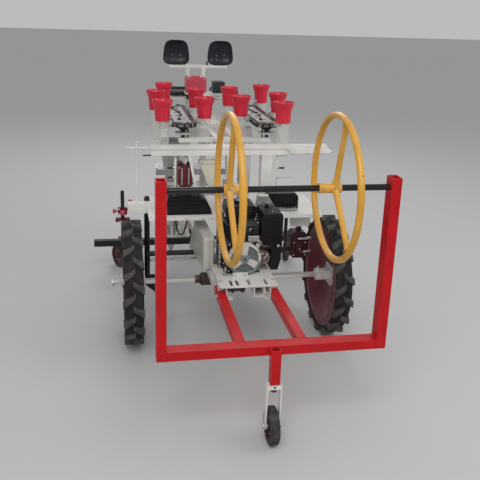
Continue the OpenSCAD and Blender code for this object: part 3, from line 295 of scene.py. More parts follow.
def repeat(name, pattern, places, body, slot, finish, size=1.0, nodes=()):
    """One mesh of a pattern at each place: a point with an aim and a spin, or a point with three turns."""
    if "points" not in TREES:
        TREES["points"] = point_tree()
    tree, sockets = TREES["points"]
    shape = pattern.finished(placed=False)
    mesh = bpy.data.meshes.new(name + ".points")
    mesh.from_pydata([(x * MM, y * MM + AXLE_Y, z * MM) for (x, y, z), *_ in places], [], [])
    flat = []
    for _, aim, *spin in places:
        flat.extend(aim if isinstance(aim, Euler) else aimed((0, 0, 0), aim, *spin).to_euler())
    mesh.attributes.new("turn", "FLOAT_VECTOR", "POINT").data.foreach_set("vector", flat)
    holder = bpy.data.objects.new(name + ".points", mesh)
    bpy.context.scene.collection.objects.link(holder)
    modifier = holder.modifiers.new("fittings", "NODES")
    modifier.node_group = tree
    modifier[sockets["Pattern"]] = shape
    modifier[sockets["Size"]] = size
    modifier[sockets["Finish"]] = finish
    made = bpy.data.meshes.new_from_object(holder.evaluated_get(bpy.context.evaluated_depsgraph_get()))
    made.name = name
    for spare in (holder, shape):
        bpy.data.objects.remove(spare)
    piece = bpy.data.objects.new(name, made)
    bpy.context.scene.collection.objects.link(piece)
    return settle(piece, body, slot, *nodes)


def hex_bolt():
    """A washer, a chamfered six-sided head and the end of the thread, for a 10 mm spanner."""
    shape = Shape("bolt")
    shape.turned([(7.2, -0.4), (7.2, 1.2), (0, 1.2)], steps=16)
    shape.prism(hexagon(0, 0, 5.6), 1.2, 6.0, bevel=0.7)
    shape.turned([(2.6, 6.0), (2.6, 7.6), (1.8, 8.2), (0, 8.2)], steps=8)
    return shape


def bolts(name, places, body="chassis", size=1.0):
    """A zinc-plated bolt at each place."""
    return repeat(name, hex_bolt(), places, body, "steel", FINISH["zinc"], size)


# Materials

class Tree:
    """A material's node tree, with short ways to add and join nodes."""

    def __init__(self, name):
        self.material = bpy.data.materials.new(name)
        self.material.use_nodes = True
        self.tree = self.material.node_tree
        self.shader = self.tree.nodes["Principled BSDF"]
        self.place = self.add("ShaderNodeTexCoord").outputs["Object"]

    def add(self, kind, inputs=None, **settings):
        node = self.tree.nodes.new(kind)
        for key, value in settings.items():
            setattr(node, key, value)
        for key, value in (inputs or {}).items():
            self.put(node.inputs[key], value)
        return node

    def put(self, socket, value):
        if isinstance(value, bpy.types.NodeSocket):
            self.tree.links.new(value, socket)
        else:
            socket.default_value = value

    def noise(self, scale, detail=3.0, rough=0.55, stretch=None):
        place = self.place
        if stretch:
            place = self.add("ShaderNodeMapping", {"Vector": place, "Scale": stretch}).outputs[0]
        return self.add("ShaderNodeTexNoise", {"Vector": place, "Scale": scale, "Detail": detail,
                                               "Roughness": rough}).outputs["Fac"]

    def span(self, value, low, high, to_low=0.0, to_high=1.0):
        return self.add("ShaderNodeMapRange", {"Value": value, "From Min": low, "From Max": high,
                                               "To Min": to_low, "To Max": to_high}).outputs["Result"]

    def math(self, operation, a, b=0.0, clamp=False):
        node = self.add("ShaderNodeMath", operation=operation, use_clamp=clamp)
        self.put(node.inputs[0], a)
        self.put(node.inputs[1], b)
        return node.outputs[0]

    def mix(self, amount, a, b):
        node = self.add("ShaderNodeMix", data_type="RGBA")
        self.put(node.inputs[0], amount)
        self.put(node.inputs[6], a)
        self.put(node.inputs[7], b)
        return node.outputs[2]

    def within(self, axis, low, high):
        """1 where the place on one axis lies between two values in metres."""
        value = self.add("ShaderNodeSeparateXYZ", {"Vector": self.place}).outputs[axis]
        return self.math("MULTIPLY", self.math("GREATER_THAN", value, low),
                         self.math("LESS_THAN", value, high))

    def edges(self, radius):
        """How strongly a point lies on a sharp edge, from 0 to 1, and the rounded normal there."""
        soft = self.add("ShaderNodeBevel", {"Radius": radius}, samples=4).outputs["Normal"]
        flat = self.add("ShaderNodeNewGeometry").outputs["Normal"]
        dot = self.add("ShaderNodeVectorMath", operation="DOT_PRODUCT")
        self.put(dot.inputs[0], soft)
        self.put(dot.inputs[1], flat)
        return self.span(dot.outputs["Value"], 0.98, 0.80), soft

    def bump(self, height, distance, normal):
        """A normal roughened by a height, over the rounded normal."""
        return self.add("ShaderNodeBump", {"Height": height, "Distance": distance, "Strength": 1.0,
                                           "Normal": normal}).outputs["Normal"]


def rgba(colour, factor=1.0):
    """A colour made lighter or darker, with full opacity."""
    return tuple(min(1.0, c * factor) for c in colour[:3]) + (1.0,)


def dusty(t, colour, dust, amount):
    """Dust that settles on faces that look up, broken up by noise."""
    up = t.add("ShaderNodeSeparateXYZ",
               {"Vector": t.add("ShaderNodeNewGeometry").outputs["Normal"]}).outputs["Z"]
    lying = t.span(up, 0.2, 1.0)
    patch = t.span(t.noise(14.0, 5.0), 0.35, 0.75)
    return t.mix(t.math("MULTIPLY", t.math("MULTIPLY", lying, patch), amount), colour, rgba(dust))


def painted(name, colour, rough=0.32, wear=0.5, dust=0.25, coat=0.15, rubbed_and_highlight=0.0, bands=(), gloss=0.35):
    """Sprayed paint: fine orange peel, faint mottling, chipped edges, pale patches that are partly worn
    paint and partly a painted highlight, dark marks and a little dust.

    bands are other colours between two heights, as (low, high, colour) in metres."""
    t = Tree(name)
    edge, soft = t.edges(0.0022)
    tone = t.mix(t.span(t.noise(9.0, 4.0), 0.3, 0.7), rgba(colour, 0.86), rgba(colour, 1.08))
    for low, high, other in bands:
        tone = t.mix(t.within("Z", low, high), tone, rgba(other))
    if rubbed_and_highlight:
        # Pale patches: partly worn paint, partly a painted highlight.
        pale_wear_and_highlight = t.span(t.noise(7.0, 6.0, 0.7), 0.60, 0.68, 0.0, rubbed_and_highlight)
        tone = t.mix(pale_wear_and_highlight, tone, (0.78, 0.66, 0.46, 1.0))
        marks = t.span(t.noise(26.0, 5.0, 0.65, (1.0, 1.0, 2.2)), 0.66, 0.72, 0.0, 0.75)
        tone = t.mix(marks, tone, rgba(colour, 0.28))
    chips = t.span(t.noise(120.0, 6.0, 0.7), 0.52, 0.60)
    worn_at = t.math("MULTIPLY", t.math("MULTIPLY", edge, chips), wear, True)
    tone = t.mix(worn_at, tone, (0.35, 0.33, 0.31, 1.0))
    tone = dusty(t, tone, (0.45, 0.42, 0.38), dust)
    t.put(t.shader.inputs["Base Color"], tone)
    t.put(t.shader.inputs["Roughness"], t.span(t.noise(35.0, 4.0), 0.3, 0.7, rough - 0.06, rough + 0.1))
    t.shader.inputs["Specular IOR Level"].default_value = gloss
    t.shader.inputs["Coat Weight"].default_value = coat
    t.shader.inputs["Coat Roughness"].default_value = 0.12
    t.put(t.shader.inputs["Normal"], t.bump(t.noise(650.0, 2.0), 0.00008, soft))
    return t.material


def bare_metal(name, colour, rough=0.3, grain=(400.0, 12.0, 12.0), stain=0.3, heat=None, clamp=None):
    """Drawn or machined metal with fine lines, dull stains and, on a hot part, tinted patches.

    clamp is the paint of the part within CLAMP_SPAN."""
    t = Tree(name)
    soft = t.edges(0.0015)[1]
    tone = t.mix(t.span(t.noise(22.0, 5.0), 0.35, 0.7, 0.0, stain), rgba(colour), rgba(colour, 0.45))
    if heat:
        tone = t.mix(t.span(t.noise(16.0, 4.0), 0.42, 0.62), tone, rgba(heat))
    if clamp:
        aside = t.math("ABSOLUTE", t.add("ShaderNodeSeparateXYZ", {"Vector": t.place}).outputs["X"])
        inside = t.math("MULTIPLY", t.math("GREATER_THAN", aside, CLAMP_SPAN[0]),
                        t.math("LESS_THAN", aside, CLAMP_SPAN[1]))
        tone = t.mix(inside, tone,
                     t.mix(t.span(t.noise(40.0, 5.0), 0.4, 0.7), rgba(clamp), rgba(clamp, 0.72)))
        t.put(t.shader.inputs["Metallic"], t.span(inside, 0.0, 1.0, 0.9, 0.0))
    else:
        t.shader.inputs["Metallic"].default_value = 0.9
    t.put(t.shader.inputs["Base Color"], tone)
    lines = t.noise(1.0, 2.0, 0.5, grain)
    t.put(t.shader.inputs["Roughness"], t.span(lines, 0.3, 0.7, rough - 0.08, rough + 0.14))
    t.put(t.shader.inputs["Normal"], t.bump(lines, 0.00008, soft))
    return t.material


def cast_alloy(name, colour, rough=0.5):
    """Sand-cast alloy: grainy and pale, with random darker patches and a painted highlight along its sharp
    edges.
    """
    t = Tree(name)
    edge, soft = t.edges(0.003)
    grain = t.noise(900.0, 3.0, 0.7)
    tone = t.mix(t.span(t.noise(18.0, 5.0), 0.35, 0.75), rgba(colour), rgba(colour, 0.6))
    # Painted highlight: sharp edges lightened to 1.3 times the colour.
    tone = t.mix(t.math("MULTIPLY", edge, 0.5), tone, rgba(colour, 1.3))
    t.put(t.shader.inputs["Base Color"], tone)
    t.shader.inputs["Metallic"].default_value = 0.65
    t.put(t.shader.inputs["Roughness"], t.span(grain, 0.3, 0.7, rough - 0.1, rough + 0.15))
    t.put(t.shader.inputs["Normal"], t.bump(grain, 0.0003, soft))
    return t.material


def rubber(name, colour, soil=0.6, rough=0.75, scuff_and_highlight=0.35):
    """Tyre rubber with dried soil worked into it, and edges lightened partly by scuffing and partly as a
    painted highlight.
    """
    t = Tree(name)
    edge, soft = t.edges(0.004)
    cover = t.span(t.noise(30.0, 6.0, 0.7), 0.42, 0.72, 0.0, soil)
    tone = t.mix(cover, rgba(colour), (0.20, 0.18, 0.16, 1.0))
    # Edges lightened: partly scuff wear, partly a painted highlight.
    tone = t.mix(t.math("MULTIPLY", edge, scuff_and_highlight), tone, (0.24, 0.22, 0.20, 1.0))
    t.shader.inputs["Specular IOR Level"].default_value = 0.3
    t.put(t.shader.inputs["Base Color"], tone)
    t.put(t.shader.inputs["Roughness"], t.span(t.noise(60.0, 4.0), 0.3, 0.7, rough - 0.1, rough + 0.15))
    t.put(t.shader.inputs["Normal"], t.bump(t.noise(380.0, 4.0, 0.7), 0.0004, soft))
    return t.material


def moulded(name, colour, rough=0.4, grain=0.00012, dust=0.2, shine=0.0, gloss=0.35):
    """Injection-moulded plastic with a fine leathery grain."""
    t = Tree(name)
    edge, soft = t.edges(0.003)
    tone = t.mix(t.span(t.noise(12.0, 3.0), 0.3, 0.7), rgba(colour, 0.88), rgba(colour, 1.1))
    # Painted highlight: sharp edges a little lighter than the plastic.
    tone = t.mix(t.math("MULTIPLY", edge, 0.2), tone, rgba(tuple(c + 0.08 for c in colour)))
    t.shader.inputs["Specular IOR Level"].default_value = gloss
    tone = dusty(t, tone, (0.35, 0.33, 0.31), dust)
    t.put(t.shader.inputs["Base Color"], tone)
    t.put(t.shader.inputs["Roughness"], t.span(t.noise(50.0, 3.0), 0.3, 0.7, rough - 0.06, rough + 0.08))
    t.shader.inputs["Coat Weight"].default_value = shine
    t.shader.inputs["Coat Roughness"].default_value = 0.1
    t.put(t.shader.inputs["Normal"], t.bump(t.noise(900.0, 2.0), grain, soft))
    return t.material


def clear_plastic(name):
    """Cloudy clear tube with scuffs."""
    t = Tree(name)
    haze = t.noise(22.0, 3.0, 0.5, (1.0, 1.0, 0.3))
    t.put(t.shader.inputs["Roughness"], t.span(haze, 0.35, 0.75, 0.1, 0.25))
    t.put(t.shader.inputs["Base Color"],
          t.mix(t.span(haze, 0.4, 0.8), (0.82, 0.83, 0.80, 1), (0.66, 0.67, 0.64, 1)))
    rim = t.add("ShaderNodeLayerWeight", {"Blend": 0.5}).outputs["Facing"]
    t.put(t.shader.inputs["Alpha"], t.span(rim, 0.3, 0.96, 0.17, 0.75))
    t.shader.inputs["Coat Weight"].default_value = 0.6
    return t.material


def floor_finish(name, colour):
    """A plain pale floor, a little uneven in tone."""
    t = Tree(name)
    t.put(t.shader.inputs["Base Color"],
          t.mix(t.span(t.noise(3.0, 3.0), 0.3, 0.7), rgba(colour, 0.985), rgba(colour)))
    t.shader.inputs["Roughness"].default_value = 0.7
    return t.material


# Settings

def colour_prop(name, description, default):
    """A colour that can be set in the scene's properties."""
    return bpy.props.FloatVectorProperty(name=name, description=description, subtype="COLOR",
                                         size=3, min=0.0, max=1.0, default=default)


class PaintColours(bpy.types.PropertyGroup):
    """Colours of the sprayed and moulded parts."""
    frame_red: colour_prop("Frame red", "Paint of the front reel frame", (0.52, 0.006, 0.010))
    ring_yellow: colour_prop("Ring yellow", "Paint of the reel rings", (0.70, 0.36, 0.045))
    chassis_white: colour_prop("Chassis white", "Paint of rails, beams and platforms", (0.74, 0.73, 0.69))
    cover_white: colour_prop("Cover white", "Paint of the chain cover", (0.60, 0.59, 0.54))
    maroon: colour_prop("Maroon", "Paint of the wheels and gearboxes", (0.13, 0.008, 0.020))
    box_pink: colour_prop("Rear box", "Paint of the rear box and the small knobs", (0.52, 0.06, 0.10))
    axle_brown: colour_prop("Axle brown", "Paint of the axle housing", (0.045, 0.034, 0.028))
    black: colour_prop("Black", "Paint of shafts and bars", (0.018, 0.018, 0.02))
    panel_grey: colour_prop("Panel grey", "Paint of the feed unit panels", (0.38, 0.39, 0.38))
    cup_red: colour_prop("Cup red", "Plastic of the cups", (0.64, 0.018, 0.045))


class TrimSizes(bpy.types.PropertyGroup):
    """Sizes of the fittings that Blender adds."""
    lug_round: bpy.props.FloatProperty(name="Lug rounding", description="Rounding of the tyre lugs",
                                       default=0.004, min=0.001, max=0.008, unit="LENGTH")
    lip: bpy.props.FloatProperty(name="Cup lip", description="Radius of the rolled lip of a cup",
                                 default=0.0016, min=0.0005, max=0.003, unit="LENGTH")
    link_hole: bpy.props.FloatProperty(name="Link pin", description="Radius of a chain pin's head",
                                       default=0.0035, min=0.002, max=0.005, unit="LENGTH")


class StudioSettings(bpy.types.PropertyGroup):
    """Floor and light of the plain studio."""
    floor_tone: bpy.props.FloatProperty(name="Floor tone", description="Grey of the floor",
                                        default=0.55, min=0.3, max=1.0)
    key_power: bpy.props.FloatProperty(name="Key light", default=125.0, min=0.0, max=2000.0,
                                       description="Power of the large soft light in watts")
    world_level: bpy.props.FloatProperty(name="World level", default=0.50, min=0.0, max=2.0,
                                         description="Strength of the even light from all round")


# Operators

def give(finish, *names):
    """Gives solids of the machine one finish."""
    for name in names:
        mesh = NODES[name].data
        mesh.materials.clear()
        mesh.materials.append(FINISH[finish])


class TRANSPLANTER_OT_stage(bpy.types.Operator):
    """Lay the floor, hang the soft lights and set the camera at the viewing angle of the picture"""
    bl_idname = "transplanter.stage"
    bl_label = "Studio"

    def execute(self, context):
        studio = context.scene.transplanter_studio
        reach = 40.0
        mesh = bpy.data.meshes.new("floor")
        corners = [(-reach, -reach, 0), (reach, -reach, 0), (reach, reach, 0), (-reach, reach, 0)]
        mesh.from_pydata(corners, [], [(0, 1, 2, 3)])
        mesh.materials.append(floor_finish("floor", (studio.floor_tone,) * 3))
        floor = bpy.data.objects.new("floor", mesh)
        context.scene.collection.objects.link(floor)
        world = bpy.data.worlds.new("studio")
        world.use_nodes = True
        sky = world.node_tree.nodes["Background"]
        sky.inputs["Color"].default_value = (1.0, 1.0, 1.0, 1.0)
        sky.inputs["Strength"].default_value = studio.world_level
        context.scene.world = world
        for name, spot, size, share in (("key", (-0.9, -4.4, 4.4), 3.2, 1.0),
                                        ("fill", (3.8, -1.6, 3.2), 3.0, 0.3),
                                        ("back", (0.5, 4.2, 3.8), 3.0, 0.4)):
            lamp = bpy.data.lights.new(name, "AREA")
            lamp.shape = "DISK"
            lamp.size = size
            lamp.energy = studio.key_power * share
            holder = bpy.data.objects.new(name, lamp)
            holder.location = spot
            holder.rotation_euler = (Vector((0, 0, 0.5)) - Vector(spot)).to_track_quat("-Z", "Y").to_euler()
            context.scene.collection.objects.link(holder)
        context.scene.view_settings.view_transform = "Standard"
        # The camera that was fitted to the picture: angles in radians, its place in metres, focal length,
        # width and upward move in pixels, film in millimetres.
        yaw, pitch, roll = 0.195, 0.297, -0.034
        place, focal, width, moved, film = (-0.633, -3.622, 1.746), 680.0, 480.0, 27.0, 36.0
        ahead = Vector((math.sin(yaw) * math.cos(pitch), math.cos(yaw) * math.cos(pitch), -math.sin(pitch)))
        level = Vector((math.cos(yaw), -math.sin(yaw), 0.0))
        down = ahead.cross(level)
        right = math.cos(roll) * level + math.sin(roll) * down
        up = math.sin(roll) * level - math.cos(roll) * down
        data = bpy.data.cameras.new("camera")
        data.sensor_width = film
        data.lens = focal / width * film
        data.shift_y = -moved / width
        camera = bpy.data.objects.new("camera", data)
        turned = Matrix((right, up, -ahead)).transposed().to_4x4()
        camera.matrix_world = Matrix.Translation(place) @ turned
        context.scene.collection.objects.link(camera)
        context.scene.camera = camera
        return {"FINISHED"}


class TRANSPLANTER_OT_finishes(bpy.types.Operator):
    """Mix every finish and give each solid of the machine its own"""
    bl_idname = "transplanter.finishes"
    bl_label = "Finishes"

    def execute(self, context):
        paint = context.scene.transplanter_paint
        black = paint.black[:3]
        light = (0.60, 0.60, 0.58)
        FINISH.update({
            "red": painted("red paint", paint.frame_red, 0.34, dust=0.0, coat=0.06, gloss=0.2),
            "black": painted("black paint", paint.black, 0.2, dust=0.0, coat=0.12, gloss=0.2),
            # The rings' pale patches are partly worn paint and partly a painted highlight.
            "yellow": painted("yellow paint", paint.ring_yellow, 0.28, dust=0.1, rubbed_and_highlight=0.55),
            "white": painted("white paint", paint.chassis_white, 0.34, dust=0.2),
            "cover white": painted("cover paint", paint.cover_white, 0.38),
            "maroon": painted("maroon paint", paint.maroon, 0.3, wear=0.15, dust=0.04, gloss=0.22),
            # A darker copy of the wheels' maroon paint: painted shade on the side gearbox.
            "dark maroon": painted("dark maroon paint", (0.045, 0.006, 0.012), 0.35, wear=0.2, dust=0.1,
                                   gloss=0.22),
            "box": painted("maroon and pink paint", paint.maroon, 0.35,
                           bands=((1.1, 1.4, paint.box_pink[:3]),)),
            "pink": painted("pink-red paint", paint.box_pink, 0.35),
            "brown": painted("brown paint", paint.axle_brown, 0.45, dust=0.35),
            "panel": painted("panel paint", paint.panel_grey, 0.42, bands=(
                (1.03, 1.0545, black), (1.0545, 1.0655, light), (1.0655, 1.1035, black))),
            "grey": painted("grey paint", paint.panel_grey, 0.42),
            "drawn": bare_metal("drawn steel", (0.62, 0.62, 0.60)),
            "zinc": bare_metal("zinc-plated steel", (0.66, 0.65, 0.62), 0.35, (90.0, 90.0, 90.0), 0.4),
            "pressed": bare_metal("pressed steel", (0.60, 0.61, 0.62), 0.4, (60.0, 60.0, 60.0)),
            "hot": bare_metal("heated steel", (0.40, 0.36, 0.36), 0.34, (70.0, 70.0, 70.0), 0.5,
                              (0.30, 0.19, 0.18)),
            "alloy": cast_alloy("cast alloy", (0.09, 0.092, 0.095)),
            "blue grey": painted("blue-grey paint", (0.19, 0.23, 0.23), 0.3),
            "axle": bare_metal("axle steel", (0.86, 0.85, 0.80), 0.4, stain=0.12, clamp=(0.72, 0.68, 0.64)),
            "tyre": rubber("tyre rubber", (0.011, 0.010, 0.010), 0.15, scuff_and_highlight=0.5),
            # The lugs' edges get the full lightening: partly scuff wear, partly a painted highlight on
            # their tops.
            "lug": rubber("lug rubber", (0.045, 0.042, 0.038), 0.5, scuff_and_highlight=1.0),
            "small tyre": rubber("small tyre rubber", (0.03, 0.03, 0.03), 0.35),
            "sheath": rubber("cable sheath", (0.02, 0.02, 0.02), 0.15, 0.45),
            "black plastic": moulded("black plastic", (0.007, 0.007, 0.008), 0.26, 0.00004, 0.0, shine=0.12,
                                     gloss=0.16),
            "green box": painted("dark green paint", (0.012, 0.03, 0.024), 0.4),
            "tank": painted("tank paint", (0.010, 0.010, 0.011), 0.26, dust=0.0, gloss=0.2),
            "seat": moulded("seat plastic", (0.010, 0.013, 0.019), 0.36, 0.0003, dust=0.02, shine=0.1,
                            gloss=0.3),
            "cup": moulded("cup red plastic", paint.cup_red, 0.35, shine=0.15, dust=0.0),
            "cream": moulded("cream plastic", (0.62, 0.59, 0.48), 0.5),
            "clear": clear_plastic("clear plastic"),
            "chain": moulded("oiled chain", (0.014, 0.013, 0.013), 0.34, shine=0.2, dust=0.05),
            "nylon": moulded("white nylon", (0.72, 0.70, 0.66), 0.4, dust=0.05),
        })
        give("red", "front_frame")
        give("black", "reel_shaft", "tool_bar", "cross_shafts")
        give("yellow", "reel_ring_left", "reel_ring_right")
        give("white", "guide_fork", "main_rails", "engine_plate", "side_platforms", "upper_frame",
             "planter_guides", "seat_frame")
        give("cover white", "chain_cover")
        give("maroon", "rim_left", "rim_right", "cover_forks")
        give("dark maroon", "side_gearbox")
        give("box", "feed_gearbox")
        give("brown", "axle_housing")
        give("panel", "guide_plates")
        give("grey", "cup_holders", "drop_chutes")
        give("axle", "axle_left", "axle_right")
        give("drawn", "beak_left", "beak_right")
        give("pressed", "engine_shield", "footboard")
        give("alloy", "engine_block")
        give("tyre", "tyre_left", "tyre_right")
        give("small tyre", "guide_wheel", "cover_wheel_left", "cover_wheel_right")
        give("black plastic", "air_cleaner", "ribbed_case", "tool_box")
        give("tank", "fuel_tank")
        give("seat", "seats")
        give("cup", "feed_cups")
        give("cream", "cream_tank")
        give("clear", "cup_tubes")
        give("chain", "feed_chains")
        give("sheath", "control_cables")
        return {"FINISHED"}


def loop_place(along, radius):
    """The place and heading, in degrees, at a distance along a feed loop of one radius."""
    quarter = radius * math.pi / 2
    along %= 2 * LOOP_LEN + 4 * quarter
    if along < quarter:
        turn = along / radius
        return radius * math.sin(turn), -radius * math.cos(turn), math.degrees(turn) - 90
    if along < quarter + LOOP_LEN:
        return radius, along - quarter, 0.0
    if along < 3 * quarter + LOOP_LEN:
        turn = (along - quarter - LOOP_LEN) / radius
        return radius * math.cos(turn), LOOP_LEN + radius * math.sin(turn), math.degrees(turn)
    if along < 3 * quarter + 2 * LOOP_LEN:
        return -radius, LOOP_LEN - (along - 3 * quarter - LOOP_LEN), 180.0
    turn = (along - 3 * quarter - 2 * LOOP_LEN) / radius
    return -radius * math.cos(turn), -radius * math.sin(turn), 180 + math.degrees(turn)


def loop_run(radius):
    """The length of a feed loop of one radius."""
    return 2 * LOOP_LEN + TURN * radius


def loop_outline(side, radius, count=120):
    """Points spaced evenly along a feed loop, seen from above."""
    for k in range(count):
        x, y, _ = loop_place(k * loop_run(radius) / count, radius)
        yield side * (UNIT_X + x), LOOP_FRONT + y


def cup_places(z):
    """The middle of every cup at height z, with its heading away from the chain."""
    for side in SIDES:
        for k in range(CUPS):
            x, y, heading = loop_place(PHASES[side] + k * loop_run(CUP_PATH) / CUPS, CUP_PATH)
            yield (side * (UNIT_X + x), LOOP_FRONT + y, z), heading if side > 0 else 180 - heading


class TRANSPLANTER_OT_cups(bpy.types.Operator):
    """Turn the flared cups, their tubes, flaps and latches"""
    bl_idname = "transplanter.cups"
    bl_label = "Cups and tubes"

    def execute(self, context):
        lip = context.scene.transplanter_trim.lip / MM
        places = [(spot, UP, heading) for spot, heading in cup_places(CUP_FOOT)]
        cup = Shape("cup")
        cup.turned([(36.4, 0.2), (38.6, 0.2), (39.2, 6), (40.8, 26), (43.6, 68), (44.6, 74), (47.6, 81),
                    (51.2, 91), (56.2, 108), (57.6 - lip / 2, 112.4), (57.6 - lip, 114.6),
                    (56.0 - lip, 114.8), (54.0, 112.6), (51.8, 105), (48.0, 91), (44.4, 82), (41.6, 76),
                    (40.4, 68), (38.2, 28), (36.4, 24)], steps=44, ring=True)
        for rise in (26.0, 66.0):
            grow = rise * 0.06
            cup.turned([(38.8 + grow, rise), (40.4 + grow, rise + 1.2), (39.0 + grow, rise + 2.4)],
                       steps=44, ring=True)
        for angle in range(0, 360, 90):
            cup.block((40.2, -1.2, 6), (42.0, 1.2, 24), 0.4,
                      Matrix.Rotation(math.radians(angle + 45), 4, "Z"))
        repeat("cup_shells", cup, places, "chassis", "cup_red", FINISH["cup"], nodes=("feed_cups",))
        tube = Shape("tube")
        top, length = 8, 190
        low = top - length
        tube.turned([(31.7, low + 1), (33.8, low + 1), (34.0, low + 5), (33.9, low + 8), (35.7, -4),
                     (35.9, 7.6), (33.7, 7.6), (33.5, -4)], steps=40, ring=True)
        for rise in (low + 22, low + 60, low + 98):
            grow = (rise - low) * 0.011
            tube.turned([(33.6 + grow, rise), (34.2 + grow, rise + 1.0), (33.7 + grow, rise + 2.0)],
                        steps=40, ring=True)
        repeat("tube_shells", tube, places, "chassis", "cup_clear", FINISH["clear"], nodes=("cup_tubes",))
        flap = Shape("flap")
        flap.prism([(-22, -14), (20, -18), (27, 0), (20, 18), (-22, 14)], low + 2, low + 4.4, bevel=0.5,
                   turned=Matrix.Rotation(math.radians(4), 4, "Y"))
        flap.pipe([(-24, -15, low + 5), (-24, 15, low + 5)], 2.2, 8)
        repeat("tube_flaps", flap, places, "chassis", "white_paint", FINISH["nylon"])
        latch = Shape("latch")
        latch.block((38.5, -7, 8), (44, 7, 20), 1.2)
        latch.turned([(5.2, 0), (5.2, 4), (4, 5.4), (0, 5.6)], (43, 0, 14), RIGHT, 14)
        repeat("cup_latches", latch, places, "chassis", "white_paint", FINISH["nylon"])
        bolts("saddle_screws", list(saddle_places()), size=0.5)
        return {"FINISHED"}


def saddle_places():
    """Two screws on top of the tab of every cup's saddle."""
    for (x, y, z), heading in cup_places(CUP_FOOT - 10):
        c, s = math.cos(math.radians(heading)), math.sin(math.radians(heading))
        for aside in (-6.0, 6.0):
            yield (x - 46 * c - aside * s, y - 46 * s + aside * c, z), UP


class TRANSPLANTER_OT_chains(bpy.types.Operator):
    """Link the two feed chains and bolt up the guide plates"""
    bl_idname = "transplanter.chains"
    bl_label = "Feed chains"

    def execute(self, context):
        pin = context.scene.transplanter_trim.link_hole / MM
        height, run = 22.0, loop_run(CHAIN_RADIUS)
        count = 2 * round(run / LINK_PITCH / 2)
        pitch = run / count
        outer, inner = Shape("outer link"), Shape("inner link")
        plate = [(x * 6.9, s * (pitch / 2 + y)) for s in SIDES for x, y in
                 ((s * 1.0, -2.0), (s * 1.0, 1.5), (s * 0.6, 5.2), (s * -0.6, 5.2), (s * -1.0, 1.5),
                  (s * -1.0, -2.0), (s * -0.78, -pitch / 2))]
        for z in (-height / 2, height / 2 - 2.4):
            outer.prism(plate, z, z + 2.4, bevel=0.4)
        for z in (-height / 2 + 2.6, height / 2 - 5.0):
            inner.prism(plate, z, z + 2.4, bevel=0.4)
        for y in (-pitch / 2, pitch / 2):
            outer.turned([(pin, -height / 2), (pin, height / 2), (pin - 1, height / 2), (0, height / 2)],
                         (0, y, 0), steps=10)
            inner.turned([(6.4, -height / 2 + 5.2), (6.4, height / 2 - 5.2)], (0, y, 0), steps=14)
        places = {0: [], 1: []}
        for side in SIDES:
            for k in range(count):
                x, y, heading = loop_place((k + 0.5) * pitch, CHAIN_RADIUS)
                places[k % 2].append(((side * (UNIT_X + x), LOOP_FRONT + y, CHAIN_Z), UP,
                                      heading if side > 0 else 180 - heading))
        repeat("chain_outer_links", outer, places[0], "chassis", "chain_steel", FINISH["chain"],
               nodes=("feed_chains",))
        repeat("chain_inner_links", inner, places[1], "chassis", "chain_steel", FINISH["chain"])
        studs = []
        for side in SIDES:
            for y in (0.0, LOOP_LEN):
                studs.append(((side * UNIT_X, LOOP_FRONT + y, 1128.0), UP))
                for a, b in ring_of(4, 34.0, 45.0):
                    studs.append(((side * UNIT_X + a, LOOP_FRONT + y + b, 1116.0), UP))
            for y in (30.0, 155.0, 280.0, 400.0, 530.0, 600.0):
                for x in (-46.0, 46.0):
                    studs.append(((side * UNIT_X + x, LOOP_FRONT + y, 1116.0), UP))
        bolts("plate_bolts", studs, size=0.75)
        guards = Shape("chain_guards", FINISH["black plastic"])
        for side in SIDES:
            guards.strip(list(loop_outline(side, 59.4)), list(loop_outline(side, 48.0)), PLATE_TOP, 1123.0)
        guards.fit("chassis", "black_plastic")
        bars = Shape("chain_stays", FINISH["black"])
        for side in SIDES:
            for y in (0.0, LOOP_LEN):
                bars.turned([(24.5, 0), (33, 0), (34, 1), (34, 3.6), (33, 4.6), (24.5, 4.6)],
                            (side * UNIT_X, LOOP_FRONT + y, PLATE_TOP), steps=40, ring=True)
            for y, lean in ((190.0, 12.0), (440.0, -12.0)):
                x, y = side * UNIT_X, LOOP_FRONT + y
                bars.pipe([(x - lean, y - 90, 1121), (x + lean, y + 90, 1121)], 4.5)
                for share in SIDES:
                    bars.block((x + share * lean - 9, y + share * 84 - 6, PLATE_TOP),
                               (x + share * lean + 9, y + share * 84 + 6, 1124), 1.0)
        bars.fit("chassis", "steel")
        return {"FINISHED"}


def swept_lug(side):
    """One tyre lug, a bent bar that leans into the tread, as its outline at the foot and at the top."""
    low = [(side * 50.0, -38), (side * 50.0, 6), (side * 18, 19), (-side * 7, 37), (-side * 7, 6),
           (side * 14, -15)]
    high = [(side * 49.0, -34), (side * 49.0, 2), (side * 18, 14), (-side * 4, 31), (-side * 4, 9),
            (side * 15, -10)]
    return low, high


